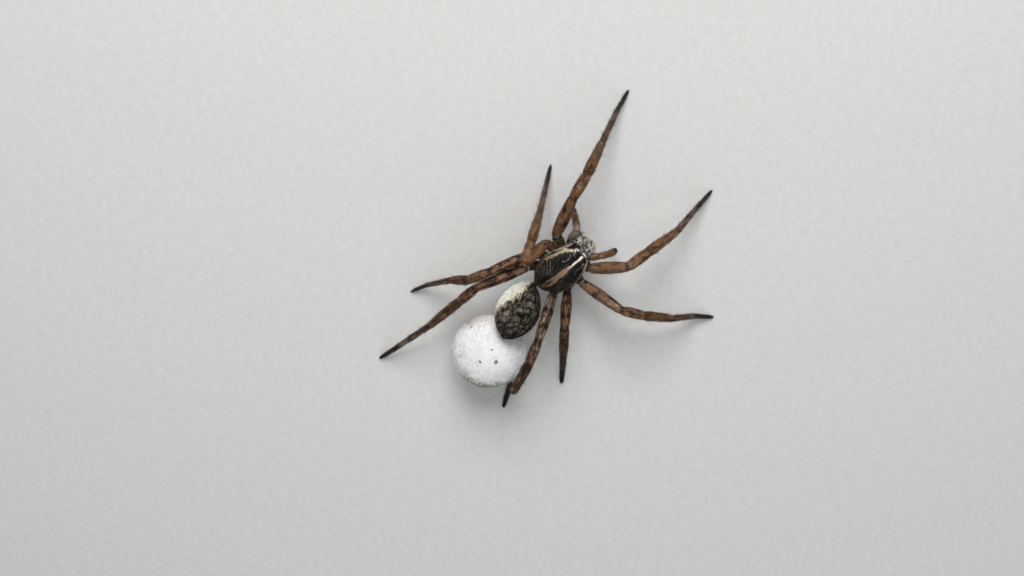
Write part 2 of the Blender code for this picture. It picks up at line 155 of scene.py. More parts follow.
class Finish(Wiring):
    """A procedural material while its nodes are being wired."""

    def __init__(self, name, **constants):
        self.material = bpy.data.materials.new(name)
        self.material.use_nodes = True
        self.tree = self.material.node_tree
        self.tree.nodes.clear()
        self.shader = self.tree.nodes.new("ShaderNodeBsdfPrincipled")
        output = self.tree.nodes.new("ShaderNodeOutputMaterial")
        self.tree.links.new(self.shader.outputs[0], output.inputs[0])
        for socket, value in constants.items():
            self.shader.inputs[socket.replace("_", " ")].default_value = value

    def mix(self, factor, first, second):
        """The first colour where the factor is 0, the second where it is 1."""
        return self.node("ShaderNodeMix", {"data_type": "RGBA"}, factor, first, second)

    def step(self, value, start, end):
        """0 at start and 1 at end, with a smooth rise or fall between."""
        settings = {"interpolation_type": "SMOOTHSTEP"}
        if start < end:
            return self.node("ShaderNodeMapRange", settings, value, start, end, 0.0, 1.0)
        return self.node("ShaderNodeMapRange", settings, value, end, start, 1.0, 0.0)

    def within(self, value, start, full, fading, end):
        """1 between full and fading, and 0 before start and after end."""
        return self.step(value, start, full) * self.step(value, end, fading)

    def line(self, value, outer, inner):
        """1 where a value is nearer to 0 than inner, and 0 beyond outer."""
        return self.step(abs(value), outer, inner)

    def wave(self, value):
        return self.node("ShaderNodeMath", {"operation": "SINE"}, value)

    def ramp(self, value, low_end, high_end, stops):
        """A curve or colour through stops, which are given in the value's own unit."""
        span = high_end - low_end
        unit_stops = [((place - low_end) / span, colour) for place, colour in stops]
        return self.node("ShaderNodeValToRGB", {"stops": unit_stops}, (value - low_end) / span)

    def noise(self, vector, scale, detail=3.0, rough=0.55, out=0, **more):
        sockets = {"Vector": vector, "Scale": scale, "Detail": detail, "Roughness": rough}
        return self.node("ShaderNodeTexNoise", {}, out=out, **sockets, **more)

    def cells(self, vector, scale, feature="F1", out=0):
        return self.node("ShaderNodeTexVoronoi", {"feature": feature}, out=out, Vector=vector, Scale=scale)

    def number(self, name):
        """A number that the mesh carries."""
        return self.node("ShaderNodeAttribute", {"attribute_name": name}).other("Fac")

    def place(self, name="place"):
        """A place or another vector that the mesh carries."""
        return self.node("ShaderNodeAttribute", {"attribute_name": name}).other("Vector")

    def object_place(self):
        return self.node("ShaderNodeTexCoord", {}).other("Object")

    def parts(self, vector):
        split = self.node("ShaderNodeSeparateXYZ", {}, vector)
        return [split.other(k) for k in range(3)]

    def finish(self, colour, rough=None, bump=None, height=0.0001, strength=0.5):
        """Joins the colour, the roughness and a bump to the shader."""
        normal = bump and self.node("ShaderNodeBump", {}, Strength=strength, Distance=height, Height=bump)
        for name, value in (("Base Color", colour), ("Roughness", rough), ("Normal", normal)):
            if value:
                self.tree.links.new(value.socket, self.shader.inputs[name])
        return self.material


def grained(name, scale, detail, dark, light, edge=0.3, relief=None, **constants):
    """A material of two tones in a fine grain, with or without relief."""
    m = Finish(name, **constants)
    grain = m.noise(m.object_place(), scale, detail)
    colour = m.ramp(grain, 0.0, 1.0, ((edge, dark), (1 - edge, light)))
    return m.finish(colour, None, relief and grain, relief, 0.3)


FLOOR_HALF = 0.9
floor_mesh = bpy.data.meshes.new("floor")
floor_corners = [(x * FLOOR_HALF, y * FLOOR_HALF, 0.0) for x, y in ((-1, -1), (1, -1), (1, 1), (-1, 1))]
floor_mesh.from_pydata(floor_corners, [], [(0, 1, 2, 3)])
paper = grained("floor_paper", 900.0, 3.0, (0.52, 0.515, 0.5), (0.56, 0.555, 0.54), Roughness=0.9)
floor_mesh.materials.append(paper)
floor = link("floor", floor_mesh)


def soft_light(name, place, size, power):
    """A square panel of light, aimed at the spider, its place in millimetres from her."""
    lamp = bpy.data.lights.new(name, "AREA")
    lamp.size = size * MM
    lamp.energy = power
    panel = link(name, lamp)
    panel.location = ORIGIN + Vector(place) * MM
    panel.rotation_euler = Vector(place).to_track_quat("Z", "Y").to_euler()


soft_light("key_light", (225, -185, 250), 200, 1.65)
soft_light("fill_light", (-260, 120, 260), 300, 0.3)
soft_light("top_light", (40, -20, 380), 260, 0.32)
world = bpy.data.worlds.new("studio")
world.use_nodes = True
world.node_tree.nodes["Background"].inputs["Color"].default_value = (0.93, 0.96, 1.0, 1)
world.node_tree.nodes["Background"].inputs["Strength"].default_value = 0.23
bpy.context.scene.world = world

# --- Legs and palps --------------------------------------------------------------
# Eight walking legs and two feelers of thin brown cuticle, round tubes along the middle
# of their solids, with a soft groove at each joint and a new tube at each sharp bend.
LEG_PARTS = {  # joint number at each ring of the solids' corners
    "coxa": (0.02, 0.3, 0.7, 0.98),
    "femur": (1.02, 1.12, 1.4, 1.75, 1.98),
    "shin": (2.02, 2.3, 2.7, 3.0, 3.2, 3.6, 3.98),
    "foot": (4.02, 4.35),
}
PALP_PARTS = {
    "femur": (0.9, 1.02, 1.5, 1.98),
    "shin": (2.02, 2.5, 3.0, 3.5, 3.98),
    "tarsus": (5.02, 5.4, 5.8),
}
FOOT_SHARES = ((0.8, 0.8), (1.0, 0.73))  # share of the first half of the foot, thickness
FOOT_SPAN = 0.35  # of that half, between the two rings of its solid
TIP_STATIONS = (5.3, 5.6, 5.8, 5.92, 6.0)
TIP_RADII = (0.96, 0.92, 0.86, 0.78, 0.62)
TIP_HEIGHT = 0.16
HIP_HEIGHT = 5.2
HIP_SHARE = 0.7
PALP_ROOT = Vector((0, -2.4, 4.6))
LIMB_DEPTH = 0.05
FOOT_THINNING = {"leg_right_2": 0.0, "leg_right_3": -0.04, "leg_right_4": -0.04, "leg_left_4": 0.0}
OTHER_THINNING = 0.04
PALP_GAIN = 0.02
PALP_THIGH_GAIN = 0.03
JOINT_GROOVES = (0.18, 0.11, 0.1, 0.09, 0.06)
LIMB_SIDES = 20
ROUND_END = (0.5, 1.0, 1.4)  # radians up the round end of a tube
LIMB_STEP = 0.14
SHARP_BEND = 0.75
KNEE_OVERRUN = 0.45
KNEE_REACH = 1.5


def solid(node):
    """A CAD node's solid as one closed mesh, in millimetres from under the carapace."""
    bm = bmesh.new()
    bm.from_mesh(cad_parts[node].data)
    for v in bm.verts:
        v.co = (v.co - ORIGIN) / MM
    bmesh.ops.remove_doubles(bm, verts=bm.verts, dist=0.002)
    return bm


def rings(node, start, count):
    """Middle and radius of the first rings of corners along a limb's solid."""
    # a part of a limb ends in flat eight-sided caps of six triangles each
    bm = solid(node)
    caps = []
    for face in bm.faces:
        cap, edge_of_cap = {face}, [face]
        while edge_of_cap:
            near = {f for e in edge_of_cap.pop().edges for f in e.link_faces} - cap
            flat = [f for f in near if f.normal.dot(face.normal) > 0.9995]
            cap.update(flat)
            edge_of_cap += flat
        corners = {v for f in cap for v in f.verts}
        if len(cap) == 6 and len(corners) == 8:
            caps.append((sum((v.co for v in corners), Vector()) / 8, corners))
    ring = min(caps, key=lambda cap: (cap[0] - start).length)[1]
    seen, found = set(), []
    while ring and len(found) < count:
        corners = np.array([v.co for v in ring])
        spread = np.linalg.svd(corners - corners.mean(0), compute_uv=False)
        found.append((Vector(corners.mean(0)), math.sqrt(2 / len(ring)) * spread[1]))
        seen |= ring
        ring = {e.other_vert(v) for v in ring for e in v.link_edges} - seen
    bm.free()
    return found


def rise(value, start, end):
    """0 at start and 1 at end, in a straight line between."""
    return np.clip((value - start) / (end - start), 0, 1)


def bell(value, width):
    """1 at a value of 0, and less on both sides of it."""
    return np.exp(-(value / width) ** 2)


def hoop(bm, middle, across, over, thick, sides):
    """A ring of corners round a middle."""
    turns = np.linspace(0, 2 * math.pi, sides, endpoint=False)
    return [bm.verts.new(middle + (across * math.cos(a) + over * math.sin(a)) * thick) for a in turns]


def bridge(bm, hoops, tip=None):
    """Faces between a row of rings, closed at the start, and at the end or on a tip."""
    steps = [(k, (k + 1) % len(hoops[0])) for k in range(len(hoops[0]))]
    for first, second in zip(hoops, hoops[1:]):
        for k, n in steps:
            bm.faces.new((first[k], second[k], second[n], first[n]))
    bm.faces.new(hoops[0])
    last = hoops[-1]
    ends = [(last[k], tip, last[n]) for k, n in steps] if tip else [last[::-1]]
    for corners in ends:
        bm.faces.new(corners)


class Limb:
    """The middle line of one limb: places, radii, joint numbers and directions."""

    def __init__(self, name, parts, start, root_length):
        self.name = name
        self.parts = parts
        self.is_palp = "palp" in name
        places, radii, stations = [], [], []
        for part, marks in parts.items():
            found = rings(f"{name}_{part}", start, len(marks))
            places += [place for place, _ in found]
            radii += [radius for _, radius in found]
            stations += marks
            start = places[-1]
        if not self.is_palp:
            heel, thick, way = places[-1], radii[-2], (places[-1] - places[-2]) / FOOT_SPAN
            for share, width in FOOT_SHARES:
                places.append(heel + way * (share - FOOT_SPAN))
                radii.append(thick * width)
                stations.append(4 + share)
        self.add_tip(f"{name}_{part}", places, radii, stations)
        inward = (places[0] - places[1]).normalized()
        places.insert(0, places[0] + inward * root_length)
        radii.insert(0, radii[0])
        stations.insert(0, stations[0] - 0.4)
        self.resample(np.array(places), np.array(radii), np.array(stations))
        self.shape_radius()

    def add_tip(self, node, places, radii, stations):
        """The last part of the foot, straight on to the end of its solid."""
        bm = solid(node)
        last, width, mark = places[-1], radii[-1], stations[-1]
        base = places[-3 if self.is_palp else -4]  # the ring that the last part starts from
        end = max((v.co for v in bm.verts), key=lambda co: (co - base).length).copy()
        bm.free()
        if not self.is_palp:
            end.z = TIP_HEIGHT
        for station, share in zip(TIP_STATIONS, TIP_RADII):
            if station > mark:
                places.append(last.lerp(end, (station - mark) / (6 - mark)))
                radii.append(width * share)
                stations.append(station)

    def resample(self, places, radii, stations):
        """Even steps along the line, in a new run after each sharp bend."""
        ways = np.diff(places, axis=0)
        lengths = np.linalg.norm(ways, axis=1)
        ways /= lengths[:, None]
        gone = np.r_[0, np.cumsum(lengths)]
        bends = [k for k in range(1, len(ways)) if ways[k] @ ways[k - 1] < SHARP_BEND]
        self.runs = []
        made = []
        for first, last in zip([0] + bends, bends + [len(places) - 1]):
            steps = max(int((gone[last] - gone[first]) / LIMB_STEP), 3) + 1
            at = np.linspace(gone[first], gone[last], steps)
            stretch = slice(first, last + 1)
            place = np.stack([np.interp(at, gone[stretch], places[stretch, k]) for k in range(3)], 1)
            # past a sharp bend each side overruns the joint, as the real knee does
            if first in bends:
                over = KNEE_OVERRUN * max(0.0, SHARP_BEND - ways[first] @ ways[first - 1])
                place -= ways[first] * over * rise(at, at[0] + KNEE_REACH, at[0])[:, None]
            radius = np.interp(at, gone, radii)
            for _ in range(7):
                for line in (place, radius):
                    line[1:-1] = line[1:-1] * 0.5 + (line[:-2] + line[2:]) * 0.25
            along = np.gradient(place, axis=0)
            along /= np.linalg.norm(along, axis=1)[:, None]
            begun = sum(len(run[0]) for run in made)
            self.runs.append(slice(begun, begun + len(at)))
            made.append((place, radius, np.interp(at, gone, stations), at, along))
        self.place, self.radius, self.station, self.length, self.along = map(np.concatenate, zip(*made))
        up = np.array((0, 0, 1.0)) - self.along * self.along[:, 2:3]
        self.up = up / np.linalg.norm(up, axis=1)[:, None]
        self.side = np.cross(self.along, self.up)
        self.joints = np.interp((1.0, 2.0, 3.0, 4.0, 5.0), stations, gone)

    def shape_radius(self):
        """Draws the skin in under the coat, and grooves it at the joints."""
        self.radius -= LIMB_DEPTH
        self.radius -= FOOT_THINNING.get(self.name, OTHER_THINNING) * rise(self.station, 3.3, 4.4)
        if self.is_palp:
            self.radius += PALP_GAIN + PALP_THIGH_GAIN * rise(self.station, 3.2, 2.6)
        for joint, depth in zip(self.joints, JOINT_GROOVES):
            far = self.length - joint
            self.radius *= 1 - depth * bell(far, 0.17) + 0.05 * bell(np.abs(far) - 0.5, 0.25)

    def tube(self, bm):
        """Adds the limb's tubes, one for each run, with round ends."""
        for run in self.runs:
            hoops = list(zip(self.place[run], self.up[run], self.side[run], self.radius[run]))
            for end, way in ((0, -1), (-1, 1)):
                place, up, side, radius = hoops[end]
                onward = self.along[run][end] * way * radius
                bulge = []
                for t in ROUND_END:
                    bulge.append((place + onward * math.sin(t), up, side, radius * math.cos(t)))
                hoops = hoops + bulge if way > 0 else bulge[::-1] + hoops
            bridge(bm, [hoop(bm, *ring, LIMB_SIDES) for ring in hoops])


limbs = []
for side in ("left", "right"):
    for number in (1, 2, 3, 4):
        low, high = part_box(f"leg_{side}_{number}_coxa")
        hip = Vector((0, ((low.y + high.y) / 2 - ORIGIN.y) / MM * HIP_SHARE, HIP_HEIGHT))
        limbs.append(Limb(f"leg_{side}_{number}", LEG_PARTS, hip, 0.9))
    limbs.append(Limb(f"palp_{side}", PALP_PARTS, PALP_ROOT, 0.7))
legs = [limb for limb in limbs if not limb.is_palp]

# --- Skin ------------------------------------------------------------------------
# The hide of the whole animal: the domed carapace, the soft abdomen, jaws, plates and
# limbs in one closed surface, mostly a little inside the solids, to leave room for hair.
BODY_ROLL = math.radians(7)
VOXEL = 0.135
GROWTH = 0.09
FLOOR_GAP = 0.02
SKIN_DEPTH = {"carapace": 0.02, "abdomen": 0.06, "under": 0.1, "jaws": 0.0, "spinnerets": 0.16}
BODY_NODES = {
    "carapace": ("carapace",),
    "abdomen": ("abdomen",),
    "under": ("sternum", "pedicel"),
    "jaws": ("chelicera_left", "chelicera_right", "maxilla_left", "maxilla_right"),
    "spinnerets": ("spinnerets",),
}
CORE_MIDDLE = (0, 0.3, 5.3)
CORE_HALF = (2.75, 4.0, 1.25, 1)
HEAD = Vector((0, -2.2, 6.4))
EYE_PLACES = ("front_middle", "front_side", "large", "rear")
EYES = [f"eye_{place}_{side}" for place in EYE_PLACES for side in ("left", "right")]
EYE_COLLAR = 0.28
MOUND_INWARD = 0.55
MOUND_SIZE = (1.2, 0.12)  # eye radii, and millimetres more
FOVEA_ALONG = 3.1
BALL_DIAGONAL = 2 * math.sqrt(3)


def as_mesh(bm, name):
    """The mesh of a finished bmesh, which is freed."""
    mesh = bpy.data.meshes.new(name)
    bm.to_mesh(mesh)
    bm.free()
    return mesh


def evaluated(item):
    """A mesh of an object with its modifiers applied."""
    return bpy.data.meshes.new_from_object(item.evaluated_get(bpy.context.evaluated_depsgraph_get()))


def smooth_copy(node, levels):
    """A rounded copy of a CAD node, its flat triangles paired and subdivided."""
    bm = solid(node)
    flat, square_on = math.radians(25), math.radians(60)
    bmesh.ops.join_triangles(bm, faces=bm.faces, angle_face_threshold=flat, angle_shape_threshold=square_on)
    item = link("rounding", as_mesh(bm, "rounding"))
    item.modifiers.new("rounding", "SUBSURF").levels = levels
    made = evaluated(item)
    bpy.data.meshes.remove(item.data)
    return made


def eye_ball(name):
    """Centre and radius of an eye, in millimetres."""
    low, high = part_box(name)
    return ((low + high) / 2 - ORIGIN) / MM, (high - low).length / BALL_DIAGONAL / MM


def points(mesh):
    flat = np.empty(len(mesh.vertices) * 3, np.float32)
    mesh.vertices.foreach_get("co", flat)
    return flat.reshape(-1, 3).astype(float)


def normals(mesh):
    flat = np.empty(len(mesh.vertices) * 3, np.float32)
    mesh.vertex_normals.foreach_get("vector", flat)
    return flat.reshape(-1, 3).astype(float)


def move(mesh, places):
    mesh.vertices.foreach_set("co", places.astype(np.float32).ravel())
    mesh.update()


def dots(first, second):
    """The dot product of each row of one array with that of another."""
    return np.einsum("ij,ij->i", first, second)


def lengths_of(rows):
    return np.linalg.norm(rows, axis=1)


sources = []
blank = bmesh.new()
for group, nodes in BODY_NODES.items():
    for node in nodes:
        mesh = smooth_copy(node, 1 if node == "carapace" else 2)
        move(mesh, points(mesh) + normals(mesh) * GROWTH)
        sources.append((group, points(mesh)))
        blank.from_mesh(mesh)
        bpy.data.meshes.remove(mesh)
# the soft body between the carapace, the sternum and the hips
core_turn = Matrix.Translation(CORE_MIDDLE) @ Matrix.Rotation(-BODY_ROLL, 4, "Y") @ Matrix.Diagonal(CORE_HALF)
core = bmesh.ops.create_uvsphere(blank, u_segments=48, v_segments=24, radius=1, matrix=core_turn)
sources.append(("under", np.array([v.co for v in core["verts"]])))
# a mound of the head round each eye
for name in EYES:
    centre, radius = eye_ball(name)
    mound = Matrix.Translation(centre + (HEAD - centre).normalized() * radius * MOUND_INWARD)
    wide = radius * MOUND_SIZE[0] + MOUND_SIZE[1]
    made = bmesh.ops.create_uvsphere(blank, u_segments=24, v_segments=12, radius=wide, matrix=mound)
    sources.append(("carapace", np.array([v.co for v in made["verts"]])))
for index, limb in enumerate(limbs):
    before = len(blank.verts)
    limb.tube(blank)
    sources.append((index, np.concatenate((limb.place, np.array([v.co for v in blank.verts][before:])))))
rough = link("rough_skin", as_mesh(blank, "rough_skin"))
remesh = rough.modifiers.new("fusing", "REMESH")
remesh.mode = "VOXEL"
remesh.voxel_size = VOXEL
skin_mesh = evaluated(rough)
bpy.data.objects.remove(rough)
count = len(skin_mesh.vertices)

edges = np.empty(len(skin_mesh.edges) * 2, np.int32)
skin_mesh.edges.foreach_get("vertices", edges)
edges = edges.reshape(-1, 2)
valence = np.bincount(edges.ravel(), minlength=count).astype(float)


def averaged(values, share):
    """Each corner's value, moved by a share towards the mean of its neighbours."""
    total = np.empty_like(values)
    for k in range(values.shape[1]):
        a = np.bincount(edges[:, 0], values[edges[:, 1], k], len(values))
        b = np.bincount(edges[:, 1], values[edges[:, 0], k], len(values))
        total[:, k] = (a + b) / valence
    return values + (total - values) * share


skin = points(skin_mesh)
for _ in range(10):
    skin = averaged(averaged(skin, 0.55), -0.57)
move(skin_mesh, skin)


def finder_of(places):
    """A search tree of places, by their number."""
    finder = KDTree(len(places))
    for k, place in enumerate(places):
        finder.insert(place, k)
    finder.balance()
    return finder


# which part of the animal each corner belongs to
GROUPS = list(BODY_NODES) + list(range(len(limbs)))
finder = finder_of([place for _, found in sources for place in found])
owner = np.repeat([GROUPS.index(group) for group, _ in sources], [len(found) for _, found in sources])
belongs = owner[[finder.find(p)[1] for p in skin]]
member = {group: belongs == k for k, group in enumerate(GROUPS)}


def unrolled(places):
    """The body's own square frame, from the leaning one it stands in."""
    c, s = math.cos(BODY_ROLL), math.sin(BODY_ROLL)
    x, z = places[:, 0], places[:, 2] - HIP_HEIGHT
    return np.stack((x * c + z * s, places[:, 1], z * c - x * s + HIP_HEIGHT), 1)


# the abdomen's own axis and directions
abdomen_points = (points(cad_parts["abdomen"].data) - np.array(ORIGIN)) / MM
abdomen_middle = (abdomen_points.max(0) + abdomen_points.min(0)) / 2
abdomen_axis = np.linalg.svd(abdomen_points - abdomen_points.mean(0), full_matrices=False)[2][0]
abdomen_axis = abdomen_axis * np.sign(abdomen_axis[1])
abdomen_up = np.array((0, 0, 1.0)) - abdomen_axis * abdomen_axis[2]
abdomen_up /= np.linalg.norm(abdomen_up)
abdomen_left = np.cross(abdomen_up, abdomen_axis)
abdomen_left *= np.sign(abdomen_left[0])
abdomen_reach = (abdomen_points - abdomen_middle) @ abdomen_axis


def on_abdomen(places):
    """Share of the way from waist to tail, and angle from the ridge of the back to her left."""
    far = places - abdomen_middle
    share = (far @ abdomen_axis - abdomen_reach.min()) / np.ptp(abdomen_reach)
    return share, np.arctan2(far @ abdomen_left, far @ abdomen_up)


def on_limb(limb, places):
    """Joint number, turn round the limb and nearest step of its middle line."""
    finder = finder_of(limb.place)
    step = np.array([finder.find(p)[1] for p in places], int)
    far = places - limb.place[step]
    onward = dots(far, limb.along[step])
    station = np.interp(limb.length[step] + onward, limb.length, limb.station)
    return station, np.arctan2(dots(far, limb.side[step]), dots(far, limb.up[step])), step


# each corner's chart, which the markings follow, and the lie of the hair on it
chart = np.zeros((count, 3))
lie = np.zeros((count, 3))
square = unrolled(skin)
for group in ("carapace", "under", "jaws", "spinnerets"):
    here = member[group]
    chart[here] = square[here][:, (1, 0, 2)]
    lie[here] = (0, 1, 0)
here = member["abdomen"]
chart[here] = np.stack((*on_abdomen(skin[here]), skin[here, 2]), 1)
lie[here] = abdomen_axis
lie[member["jaws"]] = (0, -0.3, -1)
for index, limb in enumerate(limbs):
    here = member[index]
    station, turn_angle, step = on_limb(limb, skin[here])
    chart[here] = np.stack((station, turn_angle, np.cos(turn_angle)), 1)
    lie[here] = limb.along[step]

# the skin drawn in by its depth, with the carapace's grooves pressed in
outward = normals(skin_mesh)
depth = np.zeros(count)
for group, amount in SKIN_DEPTH.items():
    depth[member[group]] = amount + GROWTH
x, y = square[:, 0], square[:, 1]
top = member["carapace"] * rise(outward[:, 2], 0.2, 0.5)
fovea = bell(x, 0.13) * bell(y - FOVEA_ALONG, 0.75)
from_fovea = np.hypot(x, y - FOVEA_ALONG)
bearing = np.arctan2(np.abs(x), FOVEA_ALONG - y)
furrows = (0.5 + 0.5 * np.cos(bearing * 9)) ** 3 * rise(bearing, 0.6, 0.8)
furrows *= rise(from_fovea, 0.7, 1.2) * rise(from_fovea, 3.4, 2.4)
neck = bell(np.abs(x) - 0.15 - (2.2 - y) * 0.62, 0.2) * rise(y, -1.6, -0.6) * rise(y, 2.2, 1.4)
depth += top * (0.2 * fovea + 0.07 * furrows + 0.11 * neck)
depth = averaged(averaged(depth[:, None], 0.6), 0.6)
skin = skin - outward * depth
skin[:, 2] = np.maximum(skin[:, 2], FLOOR_GAP)
# a low collar of skin round each eye, so that only the front of the lens shows
for name in EYES:
    centre, radius = eye_ball(name)
    axis = np.array((centre - HEAD).normalized())
    far = skin - np.array(centre)
    ahead = far @ axis
    ring = lengths_of(far - ahead[:, None] * axis)
    near = rise(ring, radius * 2.3 + 0.1, radius * 1.05) * (ahead > -2.5 * radius) * (ahead < radius)
    near = near * near * (3 - 2 * near)
    skin += axis * (np.maximum(EYE_COLLAR * radius - ahead, 0) * near)[:, None]
move(skin_mesh, skin)
outward = normals(skin_mesh)
lie -= outward * dots(lie, outward)[:, None]
lie = averaged(averaged(lie, 0.5), 0.5)
lie /= lengths_of(lie)[:, None] + 1e-6

# the unwrap: one cell of the map for each part, turn across it and length up it
MAP_CELLS = 4
CELL_MARGIN = 0.03
CELL = (1 - 2 * CELL_MARGIN) / MAP_CELLS * 0.9
LIMB_STATIONS = 6.6
loops = np.empty(len(skin_mesh.loops), np.int32)
skin_mesh.loops.foreach_get("vertex_index", loops)
face_start = np.array([p.loop_start for p in skin_mesh.polygons])
face_size = np.array([p.loop_total for p in skin_mesh.polygons])
face_group = belongs[loops[face_start]]
corner_group = np.repeat(face_group, face_size)
corner_first = np.repeat(face_start, face_size)
corner_map = np.zeros((len(loops), 2))
for number, group in enumerate(GROUPS):
    here = np.flatnonzero(corner_group == number)
    if not len(here):
        continue
    places = skin[loops[here]]
    if group == "abdomen":
        length, turn_angle = on_abdomen(places)
    elif group in BODY_NODES:
        own = unrolled(places)
        length = (own[:, 1] - own[:, 1].min()) / np.ptp(own[:, 1])
        middle_x = 0.0
        if group == "jaws":
            middle_x = np.abs(own[:, 0]).mean() * np.sign(own[:, 0])
            length = length * 0.5 + 0.5 * (own[:, 0] > 0)
        turn_angle = np.arctan2(own[:, 0] - middle_x, own[:, 2] - own[:, 2].mean())
    else:
        station, turn_angle, _ = on_limb(limbs[group], places)
        length = (station + 0.5) / LIMB_STATIONS
    # a face across the seam keeps to the side that its first corner is on
    turns = np.zeros(len(loops))
    turns[here] = turn_angle
    first = turns[corner_first[here]]
    turn_angle = first + (turn_angle - first + math.pi) % (2 * math.pi) - math.pi
    shares = np.stack((turn_angle / (2 * math.pi) + 0.5, np.clip(length, 0, 1)), 1)
    cell_corner = np.array((number % MAP_CELLS, number // MAP_CELLS)) + CELL_MARGIN * 2
    corner_map[here] = cell_corner / MAP_CELLS + CELL * shares
skin_mesh.uv_layers.new(name="SkinMap").data.foreach_set("uv", corner_map.astype(np.float32).ravel())


def store(mesh, name, values):
    """Puts a number or a vector on each corner of a mesh."""
    values = np.asarray(values, np.float32)
    kind, key = ("FLOAT_VECTOR", "vector") if values.ndim == 2 else ("FLOAT", "value")
    layer = mesh.attributes.get(name) or mesh.attributes.new(name, kind, "POINT")
    layer.data.foreach_set(key, values.ravel())


LIMB_LOOK = {  # how mottled and how pale each limb is, and how much painted shade darkens it
    "leg_left_1": (0.55, 0.1, 0.15),
    "leg_left_2": (0.15, 0.1, 0.1),
    "leg_left_3": (0.9, 0.2, 0.08),
    "leg_left_4": (1.0, 0.12, 0.0),
    "leg_right_1": (0.4, 0.25, 0.0),
    "leg_right_2": (0.6, 0.3, 0.18),
    "leg_right_3": (0.8, 0.15, 0.5),
    "leg_right_4": (1.0, 0.8, 0.35),
    "palp_left": (0.0, 0.8, 0.01),
    "palp_right": (0.05, 0.2, 0.02),
}
look = np.zeros((count, 3))
for index, limb in enumerate(limbs):
    look[member[index]] = LIMB_LOOK[limb.name]
carried = {"place": square, "chart": chart, "look": look, "lie": lie, "tone": np.full(count, 0.5)}
for name, values in carried.items():
    store(skin_mesh, name, values)

# --- Markings --------------------------------------------------------------------
# The colours of cuticle and hair, painted alike on skin and coat: a near-black carapace
# with a pale middle stripe, a mottled abdomen with a white flank, and brown banded legs.
def along_carapace(m, along, stops):
    """A colour, or a share of the half width, by the place along the carapace."""
    return m.ramp(along, -4.0, 5.0, stops)


HALF_WIDTH = 4.0
BAND_LINE = (
    (-4.0, 0.28), (-3.1, 0.35), (-2.2, 0.55), (-1.0, 0.65), (0.0, 0.72), (1.5, 0.79), (3.2, 0.66), (4.6, 0.4),
)
BAND_COLOURS = (
    (-3.4, (0.8, 0.74, 0.6)), (-2.2, (0.6, 0.52, 0.35)), (-1.0, (0.42, 0.33, 0.22)),
    (1.5, (0.2, 0.15, 0.1)), (4.0, (0.08, 0.06, 0.045)),
)
RIM_LINE = ((-4.0, 0.5), (-2.0, 0.63), (-0.3, 0.8), (1.0, 0.86), (2.5, 0.83), (4.0, 0.62), (4.8, 0.4))
STRIPE_HALF = (
    (-3.45, 0.0), (-3.3, 0.15), (-1.2, 0.16), (-0.5, 0.26), (0.7, 0.44),
    (1.6, 0.42), (2.6, 0.55), (3.6, 0.52), (4.4, 0.3), (4.6, 0.0),
)
STRIPE_COLOURS = (
    (-3.3, (0.8, 0.74, 0.63)), (-1.4, (0.7, 0.62, 0.5)), (-0.5, (0.3, 0.21, 0.15)),
    (2.0, (0.2, 0.135, 0.092)), (4.0, (0.12, 0.085, 0.058)),
)


